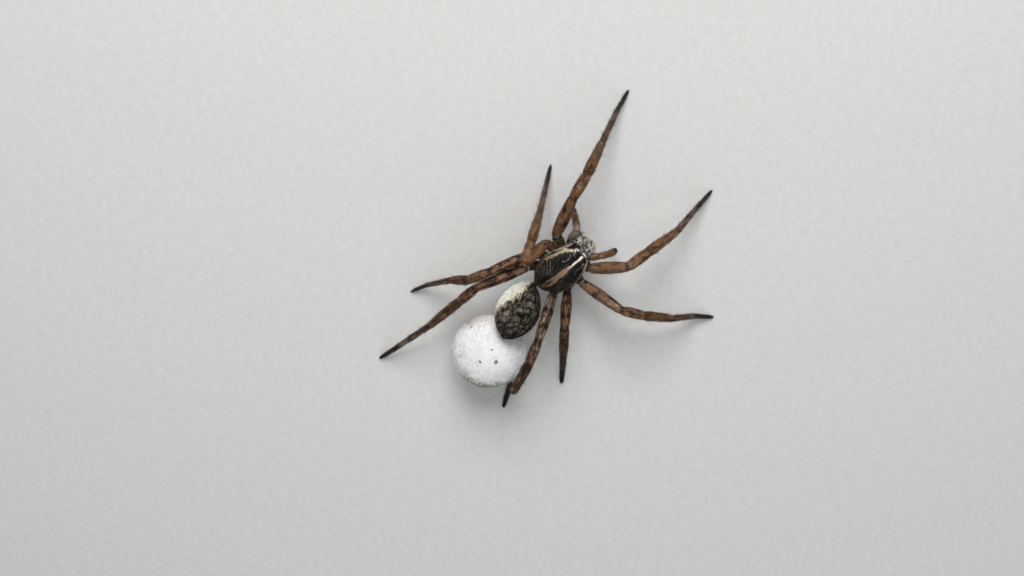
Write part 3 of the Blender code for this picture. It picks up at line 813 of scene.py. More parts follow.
def carapace_colour(m):
    """Near-black brown, with a pale stripe, pale rims and rays from the middle pit."""
    place = m.place()
    along, across, _ = m.parts(m.place("chart"))
    fine = m.noise(place, 3.2, 4.0, 0.6)
    broad = m.noise(place, 0.9)
    wobble = (m.noise(place, 1.7) - 0.5) * 0.35
    side = abs(across)
    colour = m.mix(m.step(fine, 0.45, 0.8), (0.0025, 0.0016, 0.0012), (0.014, 0.009, 0.006))
    # rays, fine pale lines from the pit to the hips
    angle = side.maths("ARCTAN2", side, 3.0 - along)
    far = (side * side + (along - 3.0) * (along - 3.0)) ** 0.5
    rays = m.step(m.wave(angle * 40.0 + wobble * 9.0) + (broad - 0.5) * 1.6, 0.45, 0.95)
    rays = rays * m.step(far, 1.0, 1.5) * m.step(angle, 0.6, 0.8) * m.step(along, 0.0, 0.8)
    colour = m.mix(rays * m.step(fine, 0.3, 0.55) * 0.9, colour, (0.2, 0.175, 0.125))
    hairline = m.noise(m.combine(angle * 13.0, far * 0.7, 0.0), 1.6, 2.0)
    hairline = m.step(hairline, 0.56, 0.68) * m.step(far, 0.7, 1.4) * m.step(along, -3.2, -2.2)
    colour = m.mix(hairline * 0.5, colour, (0.1, 0.08, 0.06))
    # thin grey streaks beside the stripe
    streak = m.line(side - 0.75 - (along - 0.5) * 0.18 + wobble * 0.3, 0.09, 0.03)
    streak = streak * m.within(along, -1.2, -0.4, 1.4, 2.2) * m.step(fine, 0.35, 0.6)
    colour = m.mix(streak * 0.6, colour, (0.15, 0.13, 0.12))
    # the grey loop behind the eyes
    loop_x, loop_y = (side - 1.62) / 0.56, (along + 1.5) / 0.77
    loop = m.line((loop_x * loop_x + loop_y * loop_y) ** 0.5 - 1.0 + wobble * 1.2, 0.13, 0.05)
    loop = loop * m.step(side, 1.8, 1.55) * m.step(m.noise(place, 2.3, 2.0), 0.42, 0.58)
    colour = m.mix(loop * (m.step(across, -0.2, 0.2) * 0.6 + 0.3), colour, (0.26, 0.26, 0.27))
    # the broad band inside the rim, bright in front and dull behind
    from_band = side - along_carapace(m, along, BAND_LINE) * HALF_WIDTH
    scallop = m.step(m.wave(along * 8.0 + wobble * 14.0), 0.2, 0.9) * m.step(from_band, 0.1, -0.2)
    from_band = abs(from_band + wobble * 0.9) * (m.step(along, -2.6, -1.2) * 0.6 + 1.0) - scallop * 0.2
    band = m.step(from_band, 0.28, 0.14) * m.within(along, -3.7, -3.2, 3.0, 4.4)
    pores = m.step(m.noise(place, 4.2, 3.0, 0.6), 0.5, 0.6)
    band_colour = m.mix(pores * 0.8, along_carapace(m, along, BAND_COLOURS), (0.13, 0.1, 0.045))
    colour = m.mix(band * m.step(fine + broad * 0.4, 0.54, 0.74), colour, band_colour)
    # the narrow pale line along the rim
    from_rim = side - along_carapace(m, along, RIM_LINE) * HALF_WIDTH + wobble * 0.5
    colour = m.mix(m.line(from_rim, 0.1, 0.05) * m.step(fine, 0.3, 0.55) * 0.85, colour, (0.42, 0.36, 0.27))
    # the middle stripe, white in front, tan and split by the pit behind
    half = along_carapace(m, along, STRIPE_HALF)
    leaning = abs(across + m.step(along, 0.5, 3.5) * 0.14)
    stripe = m.step(leaning + wobble * 0.8 + (fine - 0.5) * 0.6 - half, 0.05, -0.04) * m.step(half, 0.02, 0.1)
    dark = m.step(fine, 0.53, 0.66) * m.step(along, -1.0, 0.5) * 0.7
    tan = m.mix(dark, along_carapace(m, along, STRIPE_COLOURS), (0.06, 0.035, 0.022))
    colour = m.mix(stripe, colour, tan)
    pit = m.line(across + wobble * 0.5 + 0.08, 0.2, 0.08) * m.within(along, 2.4, 2.8, 3.5, 3.9)
    colour = m.mix(pit * 0.9, colour, (0.03, 0.011, 0.007))
    # grey and cream hair down the face, and a white arc of it over the front eyes
    muzzle = m.step(along, -3.75, -4.0) * m.step(fine + (broad - 0.5) * 0.5, 0.46, 0.6)
    colour = m.mix(muzzle * 0.7, colour, (0.3, 0.27, 0.22))
    arc = m.line(along + 3.72 - across * across * 0.16, 0.17, 0.07) * m.step(side, 1.5, 1.1)
    return m.mix(arc * 0.85, colour, (0.6, 0.58, 0.52))


BACK_SPOTS = (  # degrees from the ridge, share of the length, half sizes in both, colour, strength
    (-19.0, 0.35, 4.5, 0.03, (0.5, 0.48, 0.42), 0.9),
    (6.0, 0.52, 10.0, 0.036, (0.3, 0.27, 0.2), 0.9),
    (-15.0, 0.49, 11.0, 0.036, (0.24, 0.225, 0.18), 0.85),
    (-26.0, 0.25, 5.0, 0.04, (0.24, 0.22, 0.18), 0.7),
    (37.0, 0.665, 10.0, 0.05, (0.42, 0.36, 0.33), 0.9),
    (42.0, 0.76, 9.0, 0.05, (0.33, 0.28, 0.275), 0.9),
    (5.0, 0.69, 11.0, 0.055, (0.16, 0.16, 0.1), 0.9),
)
TAIL_SPOTS = (
    (-42.0, 0.47, 9.0, 0.05, (0.12, 0.115, 0.105), 0.6),
    (-33.0, 0.63, 7.0, 0.04, (0.11, 0.1, 0.095), 0.6),
    (14.0, 0.81, 9.0, 0.012, (0.3, 0.27, 0.2), 0.8),
    (62.0, 0.84, 9.0, 0.035, (0.004, 0.003, 0.003), 0.95),
    (57.0, 0.86, 5.0, 0.018, (0.75, 0.66, 0.6), 0.95),
)
FLANK_ARCS = ((-72.0, 0.1, 0.9), (-52.0, 0.55, 0.95), (-92.0, 0.2, 0.7))  # degrees, start, end
WHITE_EDGE = ((0.0, 0.22), (0.26, 0.25), (0.45, 0.34), (0.6, 0.45), (0.75, 0.6), (0.82, 0.95))


def abdomen_colour(m):
    """Khaki and grey patches netted with black, a white flank on her left, and painted shade over her right
    side.
    """
    place = m.place()
    along, turn_round, _ = m.parts(m.place("chart"))
    fine = m.noise(place, 2.6, 4.0, 0.62)
    broad = m.noise(place, 0.75)
    shaken = m.noise(place, 0.7, 3.0, 0.6, out=1)
    warped = m.vector("MULTIPLY_ADD", shaken, (1.5, 1.5, 1.5), place)
    tint, light, keep = m.parts(m.cells(warped, 0.75, out=1))
    net = m.cells(warped, 0.75, "DISTANCE_TO_EDGE")
    vein = m.line(m.noise(place, 0.9, 4.0, 0.6) - 0.5, 0.045, 0.02)
    angle = turn_round * (180 / math.pi)
    strokes = m.noise(m.combine(along * 10.0 + broad * 3.0, angle * 0.13, 0.0), 1.0, 3.0, 0.64)
    strokes = (strokes - 0.5) * 7.0
    # patches of khaki and grey in a black ground
    khaki = m.mix(tint, (0.17, 0.155, 0.1), (0.31, 0.255, 0.23))
    khaki = m.mix(m.step(light, 0.55, 0.7), khaki, (0.5, 0.45, 0.36))
    khaki = m.mix(m.step(fine, 0.47, 0.6) * 0.85, khaki, (0.02, 0.016, 0.011))
    ground = m.mix(m.step(fine, 0.45, 0.7), (0.004, 0.003, 0.0025), (0.026, 0.02, 0.014))
    shown = m.step(keep + (broad - 0.5) * 0.8 + m.step(along, 0.5, 0.7) * 0.3, 0.22, 0.32)
    shown = shown * m.step(net + (fine - 0.5) * 0.2, 0.03, 0.1)
    # the patches dimmer on her right side, painted shade on the side away from the light
    shown = shown * (m.step(angle, -75.0, -15.0) * 0.65 + 0.35) * m.step(along, 0.02, 0.2)
    colour = m.mix(shown * 0.95, ground, khaki)
    colour = m.mix(vein | (m.step(strokes, -0.45, -0.6) * 0.9), colour, (0.005, 0.004, 0.003))
    # painted highlight: pale rims inside the paler patches, which make them look raised, except low on her
    # right side
    rim = m.line(net + (fine - 0.5) * 0.2 - 0.12, 0.04, 0.01)
    rim = rim * m.step(light, 0.5, 0.7) * m.step(angle, -100.0, -60.0)
    colour = m.mix(rim * 0.45, colour, (0.28, 0.25, 0.2))
    pale = m.step(strokes, 0.5, 0.7) * m.step(angle, -90.0, -40.0) * m.step(along, 0.98, 0.85)
    colour = m.mix(pale * 0.6, colour, (0.34, 0.3, 0.23))
    ragged = (fine - 0.5) * 3.2 + (broad - 0.5) * 2.0 + strokes * 0.3

    def spotted(colour, spots):
        """The colour with flecks on it."""
        for angle_at, share_at, width, length, tint, strength in spots:
            a, b = (angle - angle_at) / width, (along - share_at) / length
            near = m.step((a * a + b * b) ** 0.5 + ragged, 1.05, 0.75)
            colour = m.mix(near * strength, colour, tint)
        return colour

    colour = spotted(colour, BACK_SPOTS)
    ring_a, ring_b = (angle - 5.0) / 15.0, (along - 0.7) / 0.085
    ring = m.line((ring_a * ring_a + ring_b * ring_b) ** 0.5 - 1.0 + (fine - 0.5) * 0.5, 0.14, 0.05)
    colour = m.mix(ring * m.step(ring_b - ring_a, 0.2, 0.6) * 0.8, colour, (0.34, 0.31, 0.25))
    colour = spotted(colour, TAIL_SPOTS)
    # chevrons across the hind half, dark on khaki
    from_ridge = abs(angle + 5.0)
    chevron = m.step(m.wave((along - from_ridge * 0.0028) * 52.0 + fine * 4.0), 0.5, 0.95)
    chevron = chevron * m.step(along, 0.45, 0.6) * m.step(from_ridge, 60.0, 35.0)
    colour = m.mix(chevron * 0.55, colour, (0.009, 0.007, 0.005))
    # the white flank, with a chequered edge towards the back
    inside = angle - m.ramp(along, 0.0, 1.0, WHITE_EDGE) * 180.0 + (fine - 0.5) * 18.0
    beside = m.step(inside, -48.0, -36.0) * m.step(inside, 5.0, -5.0)
    brown = m.mix(m.step(fine, 0.54, 0.64), (0.005, 0.004, 0.003), (0.12, 0.07, 0.04))
    colour = m.mix(beside * 0.9, colour, brown)
    above_belly = m.step(angle, 150.0, 115.0)
    fleck = m.step(strokes + (inside & 0.0) * 0.036 + 0.88, -0.06, 0.06)
    cream = m.mix(m.step(inside, -6.0, -32.0), (0.93, 0.9, 0.78), (0.42, 0.36, 0.26))
    colour = m.mix(fleck * m.step(inside, -48.0, -40.0) * above_belly, colour, cream)
    cloudy = m.step(fine, 0.42, 0.75) * m.step(inside, 30.0, 5.0)
    flank = m.mix(cloudy, (0.98, 0.97, 0.92), (0.82, 0.77, 0.62))
    dots_on_white = m.step(strokes + m.step(inside, 0.0, 26.0) * 0.8, -0.8, -0.92)
    flank = m.mix(dots_on_white, flank, (0.03, 0.022, 0.014))
    colour = m.mix(m.step(inside, -5.0, 5.0) * above_belly, colour, flank)
    # her right side, darkened with painted shade as it faces away from the light, with light arcs on it, the
    # belly and the tail
    right = m.step(angle, -35.0, -70.0) * m.step(angle, -150.0, -120.0)
    colour = m.mix(right * 0.8, colour, (0.009, 0.007, 0.006))
    for arc_at, start, end in FLANK_ARCS:
        arc = m.line(angle - arc_at + (fine - 0.5) * 16.0 + (broad - 0.5) * 30.0, 3.5, 1.5)
        arc = arc * m.within(along, start, start + 0.15, end - 0.15, end) * m.step(strokes, -0.4, 0.1)
        colour = m.mix(arc * 0.75, colour, (0.34, 0.31, 0.26))
    belly = m.mix(fine, (0.12, 0.09, 0.062), (0.22, 0.18, 0.13))
    colour = m.mix(m.step(abs(angle), 122.0, 150.0), colour, belly)
    return m.mix(m.step(along, 0.94, 1.0) * 0.7, colour, (0.03, 0.022, 0.015))


LIMB_GROUND = (  # joint number, colour
    (0.0, (0.075, 0.038, 0.021)), (0.95, (0.11, 0.056, 0.03)), (1.15, (0.235, 0.112, 0.048)),
    (1.9, (0.235, 0.117, 0.055)), (2.5, (0.225, 0.107, 0.047)), (3.5, (0.21, 0.107, 0.055)),
    (4.3, (0.15, 0.098, 0.07)), (4.55, (0.115, 0.083, 0.066)), (4.9, (0.085, 0.064, 0.054)),
    (5.1, (0.055, 0.043, 0.038)), (5.6, (0.04, 0.031, 0.027)), (6.0, (0.012, 0.009, 0.007)),
)


def limb_colour(m):
    """Orange-brown, with dark blotches drawn out along the limb and blackish feet, and painted shade under
    each limb and over the limbs in shade.
    """
    place = m.place()
    station, turn_round, back = m.parts(m.place("chart"))
    mottle, pale, painted_shade = m.parts(m.place("look"))
    fine = m.noise(place, 3.6, 4.0, 0.65)
    drawn_out = m.combine(station * 3.4 + painted_shade * 40.0 + mottle * 23.0, m.wave(turn_round) * 1.5, back * 1.5)
    blot = m.noise(drawn_out, 1.0, 3.0, 0.6)
    pool = m.noise(m.vector("ADD", drawn_out, (31.0, 17.0, 5.0)), 0.8, 3.0, 0.6)
    light = m.mix(pale, (0.34, 0.225, 0.155), (0.5, 0.4, 0.33))
    femur = m.within(station, 0.9, 1.15, 2.1, 2.7)
    colour = m.mix(pale * femur * 0.75, m.ramp(station, 0.0, 6.0, LIMB_GROUND), light)
    fleck = m.step(pool + (fine - 0.5) * 0.5, 0.52, 0.62) * m.step(station, 5.0, 4.8)
    colour = m.mix(fleck * 0.7, colour, light)
    shade = m.step(blot + (fine - 0.5) * 0.3 + mottle * 0.1 - 0.05, 0.53, 0.6) * m.step(station, 5.3, 4.9)
    colour = m.mix(shade * 0.85, colour, (0.03, 0.015, 0.009))
    colour = m.mix(m.step(fine, 0.5, 0.66) * 0.5, colour, (0.05, 0.024, 0.014))
    # dark bands and paired blotches on the thigh, softer ones beyond the knee
    warped = station + (pool - 0.5) * 0.45
    band = m.wave(warped * (2 * math.pi * 3.0) + 0.6)
    paired = m.line(abs(turn_round) - 0.7, 0.7, 0.3)
    blotch = m.step(band + (fine - 0.5) * 3.0 + mottle * 0.6, 0.85, 1.1) * (paired * 0.55 + 0.45)
    blotch = blotch * m.within(station, 1.02, 1.12, 4.0, 4.6) * (femur * 0.6 + 0.4)
    blotch = blotch * m.step(mottle + (blot - 0.5) * 2.4, 0.25, 0.8)
    colour = m.mix(blotch & 0.96, colour, (0.012, 0.006, 0.004))
    soft = m.step(m.wave(warped * (2 * math.pi * 2.0)) + (fine - 0.5) * 1.4, 0.2, 1.0)
    colour = m.mix(soft * 0.4 * m.within(station, 2.0, 2.3, 4.8, 5.0), colour, (0.05, 0.025, 0.014))
    # darker joints, a pale patch before the foot and white hair over the hip
    joint = m.line(station - station.maths("ROUND", station), 0.07, 0.02)
    joint = joint * m.within(station, 0.5, 0.8, 5.1, 5.3) * m.step(fine, 0.25, 0.5)
    colour = m.mix(joint * 0.75, colour, (0.025, 0.013, 0.009))
    cuff = m.line(station - 4.72, 0.16, 0.06) * m.step(back, -0.1, 0.5) * m.step(fine, 0.36, 0.56)
    colour = m.mix(cuff * (mottle * 0.35 + 0.05), colour, (0.42, 0.33, 0.26))
    around_hip = station + (pool - 0.5) * 0.1
    hip = m.line(around_hip - 0.98, 0.11, 0.05) * m.step(back, -0.3, 0.3)
    colour = m.mix(hip * 0.85, colour, (0.02, 0.014, 0.01))
    arc = m.line(around_hip - 1.03, 0.025, 0.012) * m.step(back, 0.0, 0.6) * m.step(fine, 0.36, 0.5)
    colour = m.mix(arc * 0.85, colour, (0.6, 0.57, 0.48))
    # painted shade on the underside of each limb
    colour = m.mix(m.step(back, -0.1, -0.9) * 0.45, colour, (0.075, 0.042, 0.026))
    # painted shade: the whole limb darkened towards black by its share of shade
    return m.mix(painted_shade, colour, m.mix(0.7, colour, (0.01, 0.006, 0.004)))


def jaw_colour(m):
    """Dark brown under grey and cream hair, palest on the jaws' fronts."""
    place = m.place()
    fine = m.noise(place, 3.0, 4.0, 0.6)
    across, along, height = m.parts(place)
    strand = m.noise(m.combine(across * 3.2, along * 1.7, height * 0.9), 1.0, 4.0, 0.65)
    colour = m.mix(m.step(strand + (fine - 0.5) * 0.3, 0.43, 0.55), (0.055, 0.04, 0.03), (0.7, 0.68, 0.61))
    return m.mix(m.step(fine, 0.54, 0.66) * 0.6, colour, (0.12, 0.09, 0.065))


def under_colour(m):
    """Dark brown plates and membranes of the underside."""
    fine = m.noise(m.place(), 2.4, 4.0, 0.6)
    return m.mix(m.step(fine, 0.35, 0.7), (0.016, 0.01, 0.007), (0.085, 0.055, 0.035))


def skin_finish(name, paint):
    """The hide itself: faintly glossy, with the grain of hair roots and small folds."""
    m = Finish(f"{name}_skin", Specular_IOR_Level=0.2)
    grain = m.noise(m.place(), 9.0, 4.0, 0.7)
    relief = grain * 0.6 + m.cells(m.place(), 7.0) * 0.4
    return m.finish(paint(m), m.step(grain, 0.2, 0.9) * 0.25 + 0.42, relief, 0.00005, 0.55)


def coat_finish(name, paint):
    """Hair over that skin: the same markings, each tuft a little lighter or darker."""
    m = Finish(f"{name}_coat", Specular_IOR_Level=0.1, Roughness=0.6)
    tone = m.number("tone")
    return m.finish(m.vector("SCALE", paint(m), tone * tone * 1.3 + 0.55))


MARKINGS = {
    "carapace": carapace_colour,
    "abdomen": abdomen_colour,
    "limb": limb_colour,
    "jaws": jaw_colour,
    "under": under_colour,
}
coat_looks = {}
for name, paint in MARKINGS.items():
    skin_mesh.materials.append(skin_finish(name, paint))
    coat_looks[name] = coat_finish(name, paint)
group_looks = [group if group in MARKINGS else "limb" for group in GROUPS]
group_looks[GROUPS.index("spinnerets")] = "under"
group_slots = np.array([list(MARKINGS).index(look_name) for look_name in group_looks], np.int32)
skin_mesh.polygons.foreach_set("material_index", group_slots[face_group])
skin_mesh.polygons.foreach_set("use_smooth", [True] * len(skin_mesh.polygons))

# --- Coat ------------------------------------------------------------------------
# Short hair that lies back along the body and down the limbs, longest on the jaws and
# shortest on the carapace. Each tuft is a thin bent blade, rooted in the skin.
TUFT_WIDTH = 0.055
TUFT_RIDGE = 0.55
TUFT_ROWS = ((0.0, 0.7, -0.03), (0.5, 1.0, 0.07))  # share of the length, width, bend
TUFT_TIP_BEND = 0.02
PATCH = 0.003
LOWEST_HAIR = 0.01


def tuft_blade():
    """One bent blade of hair, a millimetre long, with its place on the bake map."""
    bm = bmesh.new()
    hoops, local = [], []
    for length, width, bend in TUFT_ROWS:
        wide = TUFT_WIDTH * width
        row = []
        for across, high_by in ((-0.5, 0.0), (0.5, 0.0), (0.0, TUFT_RIDGE)):
            row.append(bm.verts.new((bend + high_by * wide, across * wide, length)))
            local.append((0.5 + across * width, length, 0))
        hoops.append(row)
    bridge(bm, hoops, bm.verts.new((TUFT_TIP_BEND, 0, 1.0)))
    bmesh.ops.recalc_face_normals(bm, faces=bm.faces)
    mesh = as_mesh(bm, "tuft")
    mesh.polygons.foreach_set("use_smooth", [True] * len(mesh.polygons))
    store(mesh, "tuft_map", local + [(0.5, 1.0, 0)])
    return mesh


class Growth(Wiring):
    """A Geometry Nodes tree while it is being wired."""

    def __init__(self, name, inputs):
        self.tree = bpy.data.node_groups.new(name, "GeometryNodeTree")
        for label, kind in {"Geometry": "Geometry", **inputs}.items():
            self.tree.interface.new_socket(label, in_out="INPUT", socket_type=f"NodeSocket{kind}")
        self.tree.interface.new_socket("Geometry", in_out="OUTPUT", socket_type="NodeSocketGeometry")
        entry = self.tree.nodes.new("NodeGroupInput")
        self.given = {s.name: Socket(self, s) for s in entry.outputs}

    def carried(self, name, kind="FLOAT_VECTOR"):
        """What the mesh carries under a name."""
        return self.node("GeometryNodeInputNamedAttribute", {"data_type": kind}, Name=name)

    def keep(self, geometry, name, value, kind="FLOAT_VECTOR", domain="POINT"):
        """The geometry, with a value carried under a name."""
        settings = {"data_type": kind, "domain": domain}
        sockets = {"Geometry": geometry, "Name": name, "Value": value}
        return self.node("GeometryNodeStoreNamedAttribute", settings, **sockets)

    def chance(self, low, high, seed, kind="FLOAT"):
        return self.node("FunctionNodeRandomValue", {"data_type": kind}, Min=low, Max=high, Seed=seed)

    def turned(self, settings, **sockets):
        """A rotation that points an axis along a vector."""
        return self.node("FunctionNodeAlignRotationToVector", settings, **sockets)

    def finish(self, geometry):
        leave = self.tree.nodes.new("NodeGroupOutput")
        self.tree.links.new(geometry.socket, leave.inputs[0])
        return self.tree


def coat_tree():
    """Scatters tufts over a skin, laid along it, each with its patch of the bake map."""
    g = Growth("coat", {
        "Density": "String", "Length": "String", "Seed": "Int", "Raise": "Float", "Stray": "Float",
        "Width": "Float", "Tuft": "Object", "Material": "Material",
    })
    given = g.given
    roots = g.node(
        "GeometryNodeDistributePointsOnFaces", {"distribute_method": "RANDOM"},
        Mesh=given["Geometry"], Density=g.carried(given["Density"], "FLOAT"), Seed=given["Seed"],
    )
    outward = roots.other("Normal")
    placed = g.keep(roots, "root_map", g.carried("SkinMap"))
    placed = g.keep(placed, "tone", g.chance(0.0, 1.0, 5), "FLOAT")
    stray = g.vector("SCALE", g.chance((-1, -1, -1), (1, 1, 1), 9, "FLOAT_VECTOR"), given["Stray"])
    lift = g.vector("SCALE", outward, given["Raise"])
    way = g.vector("NORMALIZE", g.vector("ADD", g.vector("ADD", g.carried("lie"), stray), lift))
    leaning = g.turned({"axis": "Z"}, Vector=way)
    facing = g.turned({"axis": "X", "pivot_axis": "Z"}, Rotation=leaning, Vector=outward)
    length = g.carried(given["Length"], "FLOAT") * g.chance(0.65, 1.25, 13)
    size = g.combine(given["Width"], given["Width"], length)
    blade = g.node("GeometryNodeObjectInfo", {"transform_space": "ORIGINAL"}, out=-1, Object=given["Tuft"])
    sockets = {"Points": placed, "Instance": blade, "Rotation": facing, "Scale": size}
    hair = g.node("GeometryNodeRealizeInstances", {}, g.node("GeometryNodeInstanceOnPoints", {}, **sockets))
    patch = g.vector("ADD", g.carried("root_map"), g.vector("SCALE", g.carried("tuft_map"), PATCH))
    hair = g.keep(hair, "OFBake", patch, "FLOAT2", "CORNER")
    return g.finish(g.node("GeometryNodeSetMaterial", {}, Geometry=hair, Material=given["Material"]))


coat_nodes = coat_tree()


def sown(bed, tuft, material, density, length, seed, lift, stray, width=1.0):
    """Hair on a bed: tufts per square millimetre and their length, corner by corner."""
    store(bed.data, "fur", density)
    store(bed.data, "fur_length", length)
    modifier = bed.modifiers.new("coat", "NODES")
    modifier.node_group = coat_nodes
    values = {
        "Density": "fur", "Length": "fur_length", "Seed": seed, "Raise": lift, "Stray": stray,
        "Width": width, "Tuft": tuft, "Material": material,
    }
    for socket in coat_nodes.interface.items_tree:
        if socket.in_out == "INPUT" and socket.name in values:
            modifier[socket.identifier] = values[socket.name]
    mesh = evaluated(bed)
    bed.modifiers.remove(modifier)
    for spent in ("fur", "fur_length", "root_map", "tuft_map", "lie", "SkinMap"):
        if spent in mesh.attributes:
            mesh.attributes.remove(mesh.attributes[spent])
    places = points(mesh)
    places[:, 2] = np.maximum(places[:, 2], LOWEST_HAIR)
    move(mesh, places)
    return mesh


def settle(name, mesh, material=None, replaced=(), smooth=True, piece=None):
    """A finished piece, from a mesh in millimetres, in its place on the body."""
    mesh.name = name
    mesh.transform(TO_WORLD)
    if material:
        mesh.materials.clear()
        mesh.materials.append(material)
    if smooth:
        mesh.polygons.foreach_set("use_smooth", [True] * len(mesh.polygons))
    piece = piece or link(name, mesh)
    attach(piece, "root")
    if replaced:
        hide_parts(*replaced)


def grow(name, look_name, density, length, seed, lift, stray, width=1.0):
    """One piece of coat, with its own chart where the markings are fine."""
    mesh = sown(bed, tuft, coat_looks[look_name], density, length, seed, lift, stray, width)
    places = points(mesh)
    own = unrolled(places)
    store(mesh, "place", own)
    if look_name == "carapace":
        store(mesh, "chart", own[:, (1, 0, 2)])
    if look_name == "abdomen":
        store(mesh, "chart", np.stack((*on_abdomen(places), places[:, 2]), 1))
    settle(name, mesh)


bed = link("skin", skin_mesh)
tuft = link("tuft", tuft_blade())
tuft.hide_render = True
clear = np.ones(count)
for name in EYES:
    centre, radius = eye_ball(name)
    clear *= rise(lengths_of(skin - np.array(centre)), radius * 1.15, radius * 1.6)
face = rise(square[:, 1], -1.2, -2.6)
under = (member["under"] | member["spinnerets"]) * rise(outward[:, 2], 0.9, 0.3)
grow(
    "coat_carapace", "carapace", member["carapace"] * clear * (64 - 10 * face),
    0.3 - 0.1 * face, 11, lift=0.1, stray=0.3, width=0.5,
)
for name, slot, density, length, seed, lift, stray, width in (
    ("abdomen", "abdomen", member["abdomen"] * 130.0, 0.46, 21, 0.32, 0.3, 0.62),
    ("under", "jaw_cuticle", under * 34.0, 0.45, 31, 0.3, 0.35, 1.0),
    ("jaws", "jaw_cuticle", member["jaws"] * 120.0, 0.6, 41, 0.42, 0.4, 0.6),
):
    grow(f"coat_{name}", name, density, np.full(count, length), seed, lift, stray, width)
station = chart[:, 0]
limb_density = 88 + 40 * rise(station, 4.0, 5.2)
limb_length = 0.31 + 0.13 * rise(station, 2.0, 3.2) + 0.06 * rise(station, 3.8, 4.4)
limb_length -= 0.2 * rise(station, 5.0, 6.0)
for index, limb in enumerate(limbs):
    density = member[index] * limb_density
    grow(f"coat_{limb.name}", "limb", density, limb_length, 51 + index, 0.4, 0.28, 0.6)

bpy.data.objects.remove(tuft)
for spent in ("lie", "fur", "fur_length"):
    skin_mesh.attributes.remove(skin_mesh.attributes[spent])
flesh = [node for nodes in BODY_NODES.values() for node in nodes]
flesh += [f"{limb.name}_{part}" for limb in limbs for part in limb.parts]
settle("skin", skin_mesh, replaced=flesh, piece=bed)

# --- Eyes ------------------------------------------------------------------------
# Eight simple eyes of clear hard cornea over a black cup, wet-looking, each a smooth
# lens set in its mound: four small in front, two large over them, two behind.
# the lenses are near black with a faint violet tint in their colour, a painted stand-in for their purple
# glints
lens_material = grained(
    "eye_lens", 900.0, 2.0, (0.004, 0.003, 0.004), (0.02, 0.011, 0.026), edge=0.35,
    Roughness=0.06, Coat_Weight=1.0, Coat_Roughness=0.03, Specular_IOR_Level=0.6,
)
for name in EYES:
    centre, radius = eye_ball(name)
    bm = bmesh.new()
    bmesh.ops.create_icosphere(bm, subdivisions=4, radius=radius, matrix=Matrix.Translation(centre))
    settle(name + "_lens", as_mesh(bm, "lens"), lens_material, [name])

# --- Fangs -----------------------------------------------------------------------
# Two hard curved fangs of dark red-black cuticle, folded under the jaws, polished by use.
fang_material = grained(
    "fang_horn", 1500.0, 3.0, (0.012, 0.004, 0.003), (0.05, 0.014, 0.008), relief=0.00002,
    Roughness=0.22, Coat_Weight=0.6, Coat_Roughness=0.1,
)
for side in ("left", "right"):
    settle(f"fang_{side}_horn", smooth_copy(f"fang_{side}", 2), fang_material, [f"fang_{side}"])

# --- Spines ----------------------------------------------------------------------
# Stiff dark bristles of black horn that stand out of the thighs, shins and feet in
# pairs, thick at the root and slightly bent along the leg.
SPINES = (  # joint number, angle from the top, length
    (1.45, -35, 0.9), (1.6, 40, 0.9), (1.8, -30, 0.8), (1.82, 45, 0.8), (1.3, 5, 0.8),
    (3.15, 70, 1.1), (3.2, -70, 1.1), (3.25, 150, 1.2), (3.3, -150, 1.2), (3.55, 80, 1.1),
    (3.6, -80, 1.1), (3.6, 150, 1.2), (3.65, -150, 1.2), (3.85, 140, 1.0), (3.88, -140, 1.0),
    (4.1, 75, 1.0), (4.12, -75, 1.0), (4.2, 145, 1.1), (4.25, -145, 1.1), (4.5, 80, 0.9),
    (4.52, -80, 0.9), (4.6, 150, 0.9), (4.64, -150, 0.9), (4.92, 120, 0.6), (4.94, -120, 0.6),
)
SPINE_WIDTH = 0.085
SPINE_ROOT = 0.05
SPINE_BEND = 0.12
SPINE_CLEARANCE = 1.0  # height below which none points down
SPIKE_SIDES = 6
SPIKE_STEPS = 5
LOWEST_HORN = 0.015
horn_material = grained("black_horn", 1200.0, 3.0, (0.012, 0.008, 0.006), (0.05, 0.03, 0.02), Roughness=0.35)


def spike(bm, root, way, bend, length, width):
    """A tapered bent spike from its root, closed at both ends."""
    across = way.orthogonal().normalized()
    other = way.cross(across)
    hoops = []
    for k in range(SPIKE_STEPS):
        t = k / SPIKE_STEPS
        middle = root + (way + bend * t) * length * t
        hoops.append(hoop(bm, middle, across, other, width / 2 * (1 - t) ** 0.7, SPIKE_SIDES))
    bridge(bm, hoops, bm.verts.new(root + (way + bend) * length))


def settle_horn(name, bm):
    """Spikes, kept off the floor, as one finished piece."""
    for v in bm.verts:
        v.co.z = max(v.co.z, LOWEST_HORN)
    bmesh.ops.recalc_face_normals(bm, faces=bm.faces)
    settle(name, as_mesh(bm, name), horn_material)


random.seed(7)
bm = bmesh.new()
for limb in legs:
    for station, angle, length in SPINES:
        k = int(np.argmin(np.abs(limb.station - station - random.uniform(-0.04, 0.04))))
        a = math.radians(angle + random.uniform(-12, 12))
        along, radial = Vector(limb.along[k]), Vector(limb.up[k] * math.cos(a) + limb.side[k] * math.sin(a))
        root = Vector(limb.place[k]) + radial * (limb.radius[k] - SPINE_ROOT)
        # none under a foot, where it would stand in the floor
        if root.z < SPINE_CLEARANCE and radial.z < 0:
            continue
        way = (along * 0.72 + radial * 0.7).normalized()
        spike(bm, root, way, along * SPINE_BEND, length * random.uniform(0.85, 1.1), SPINE_WIDTH)
settle_horn("leg_spines", bm)

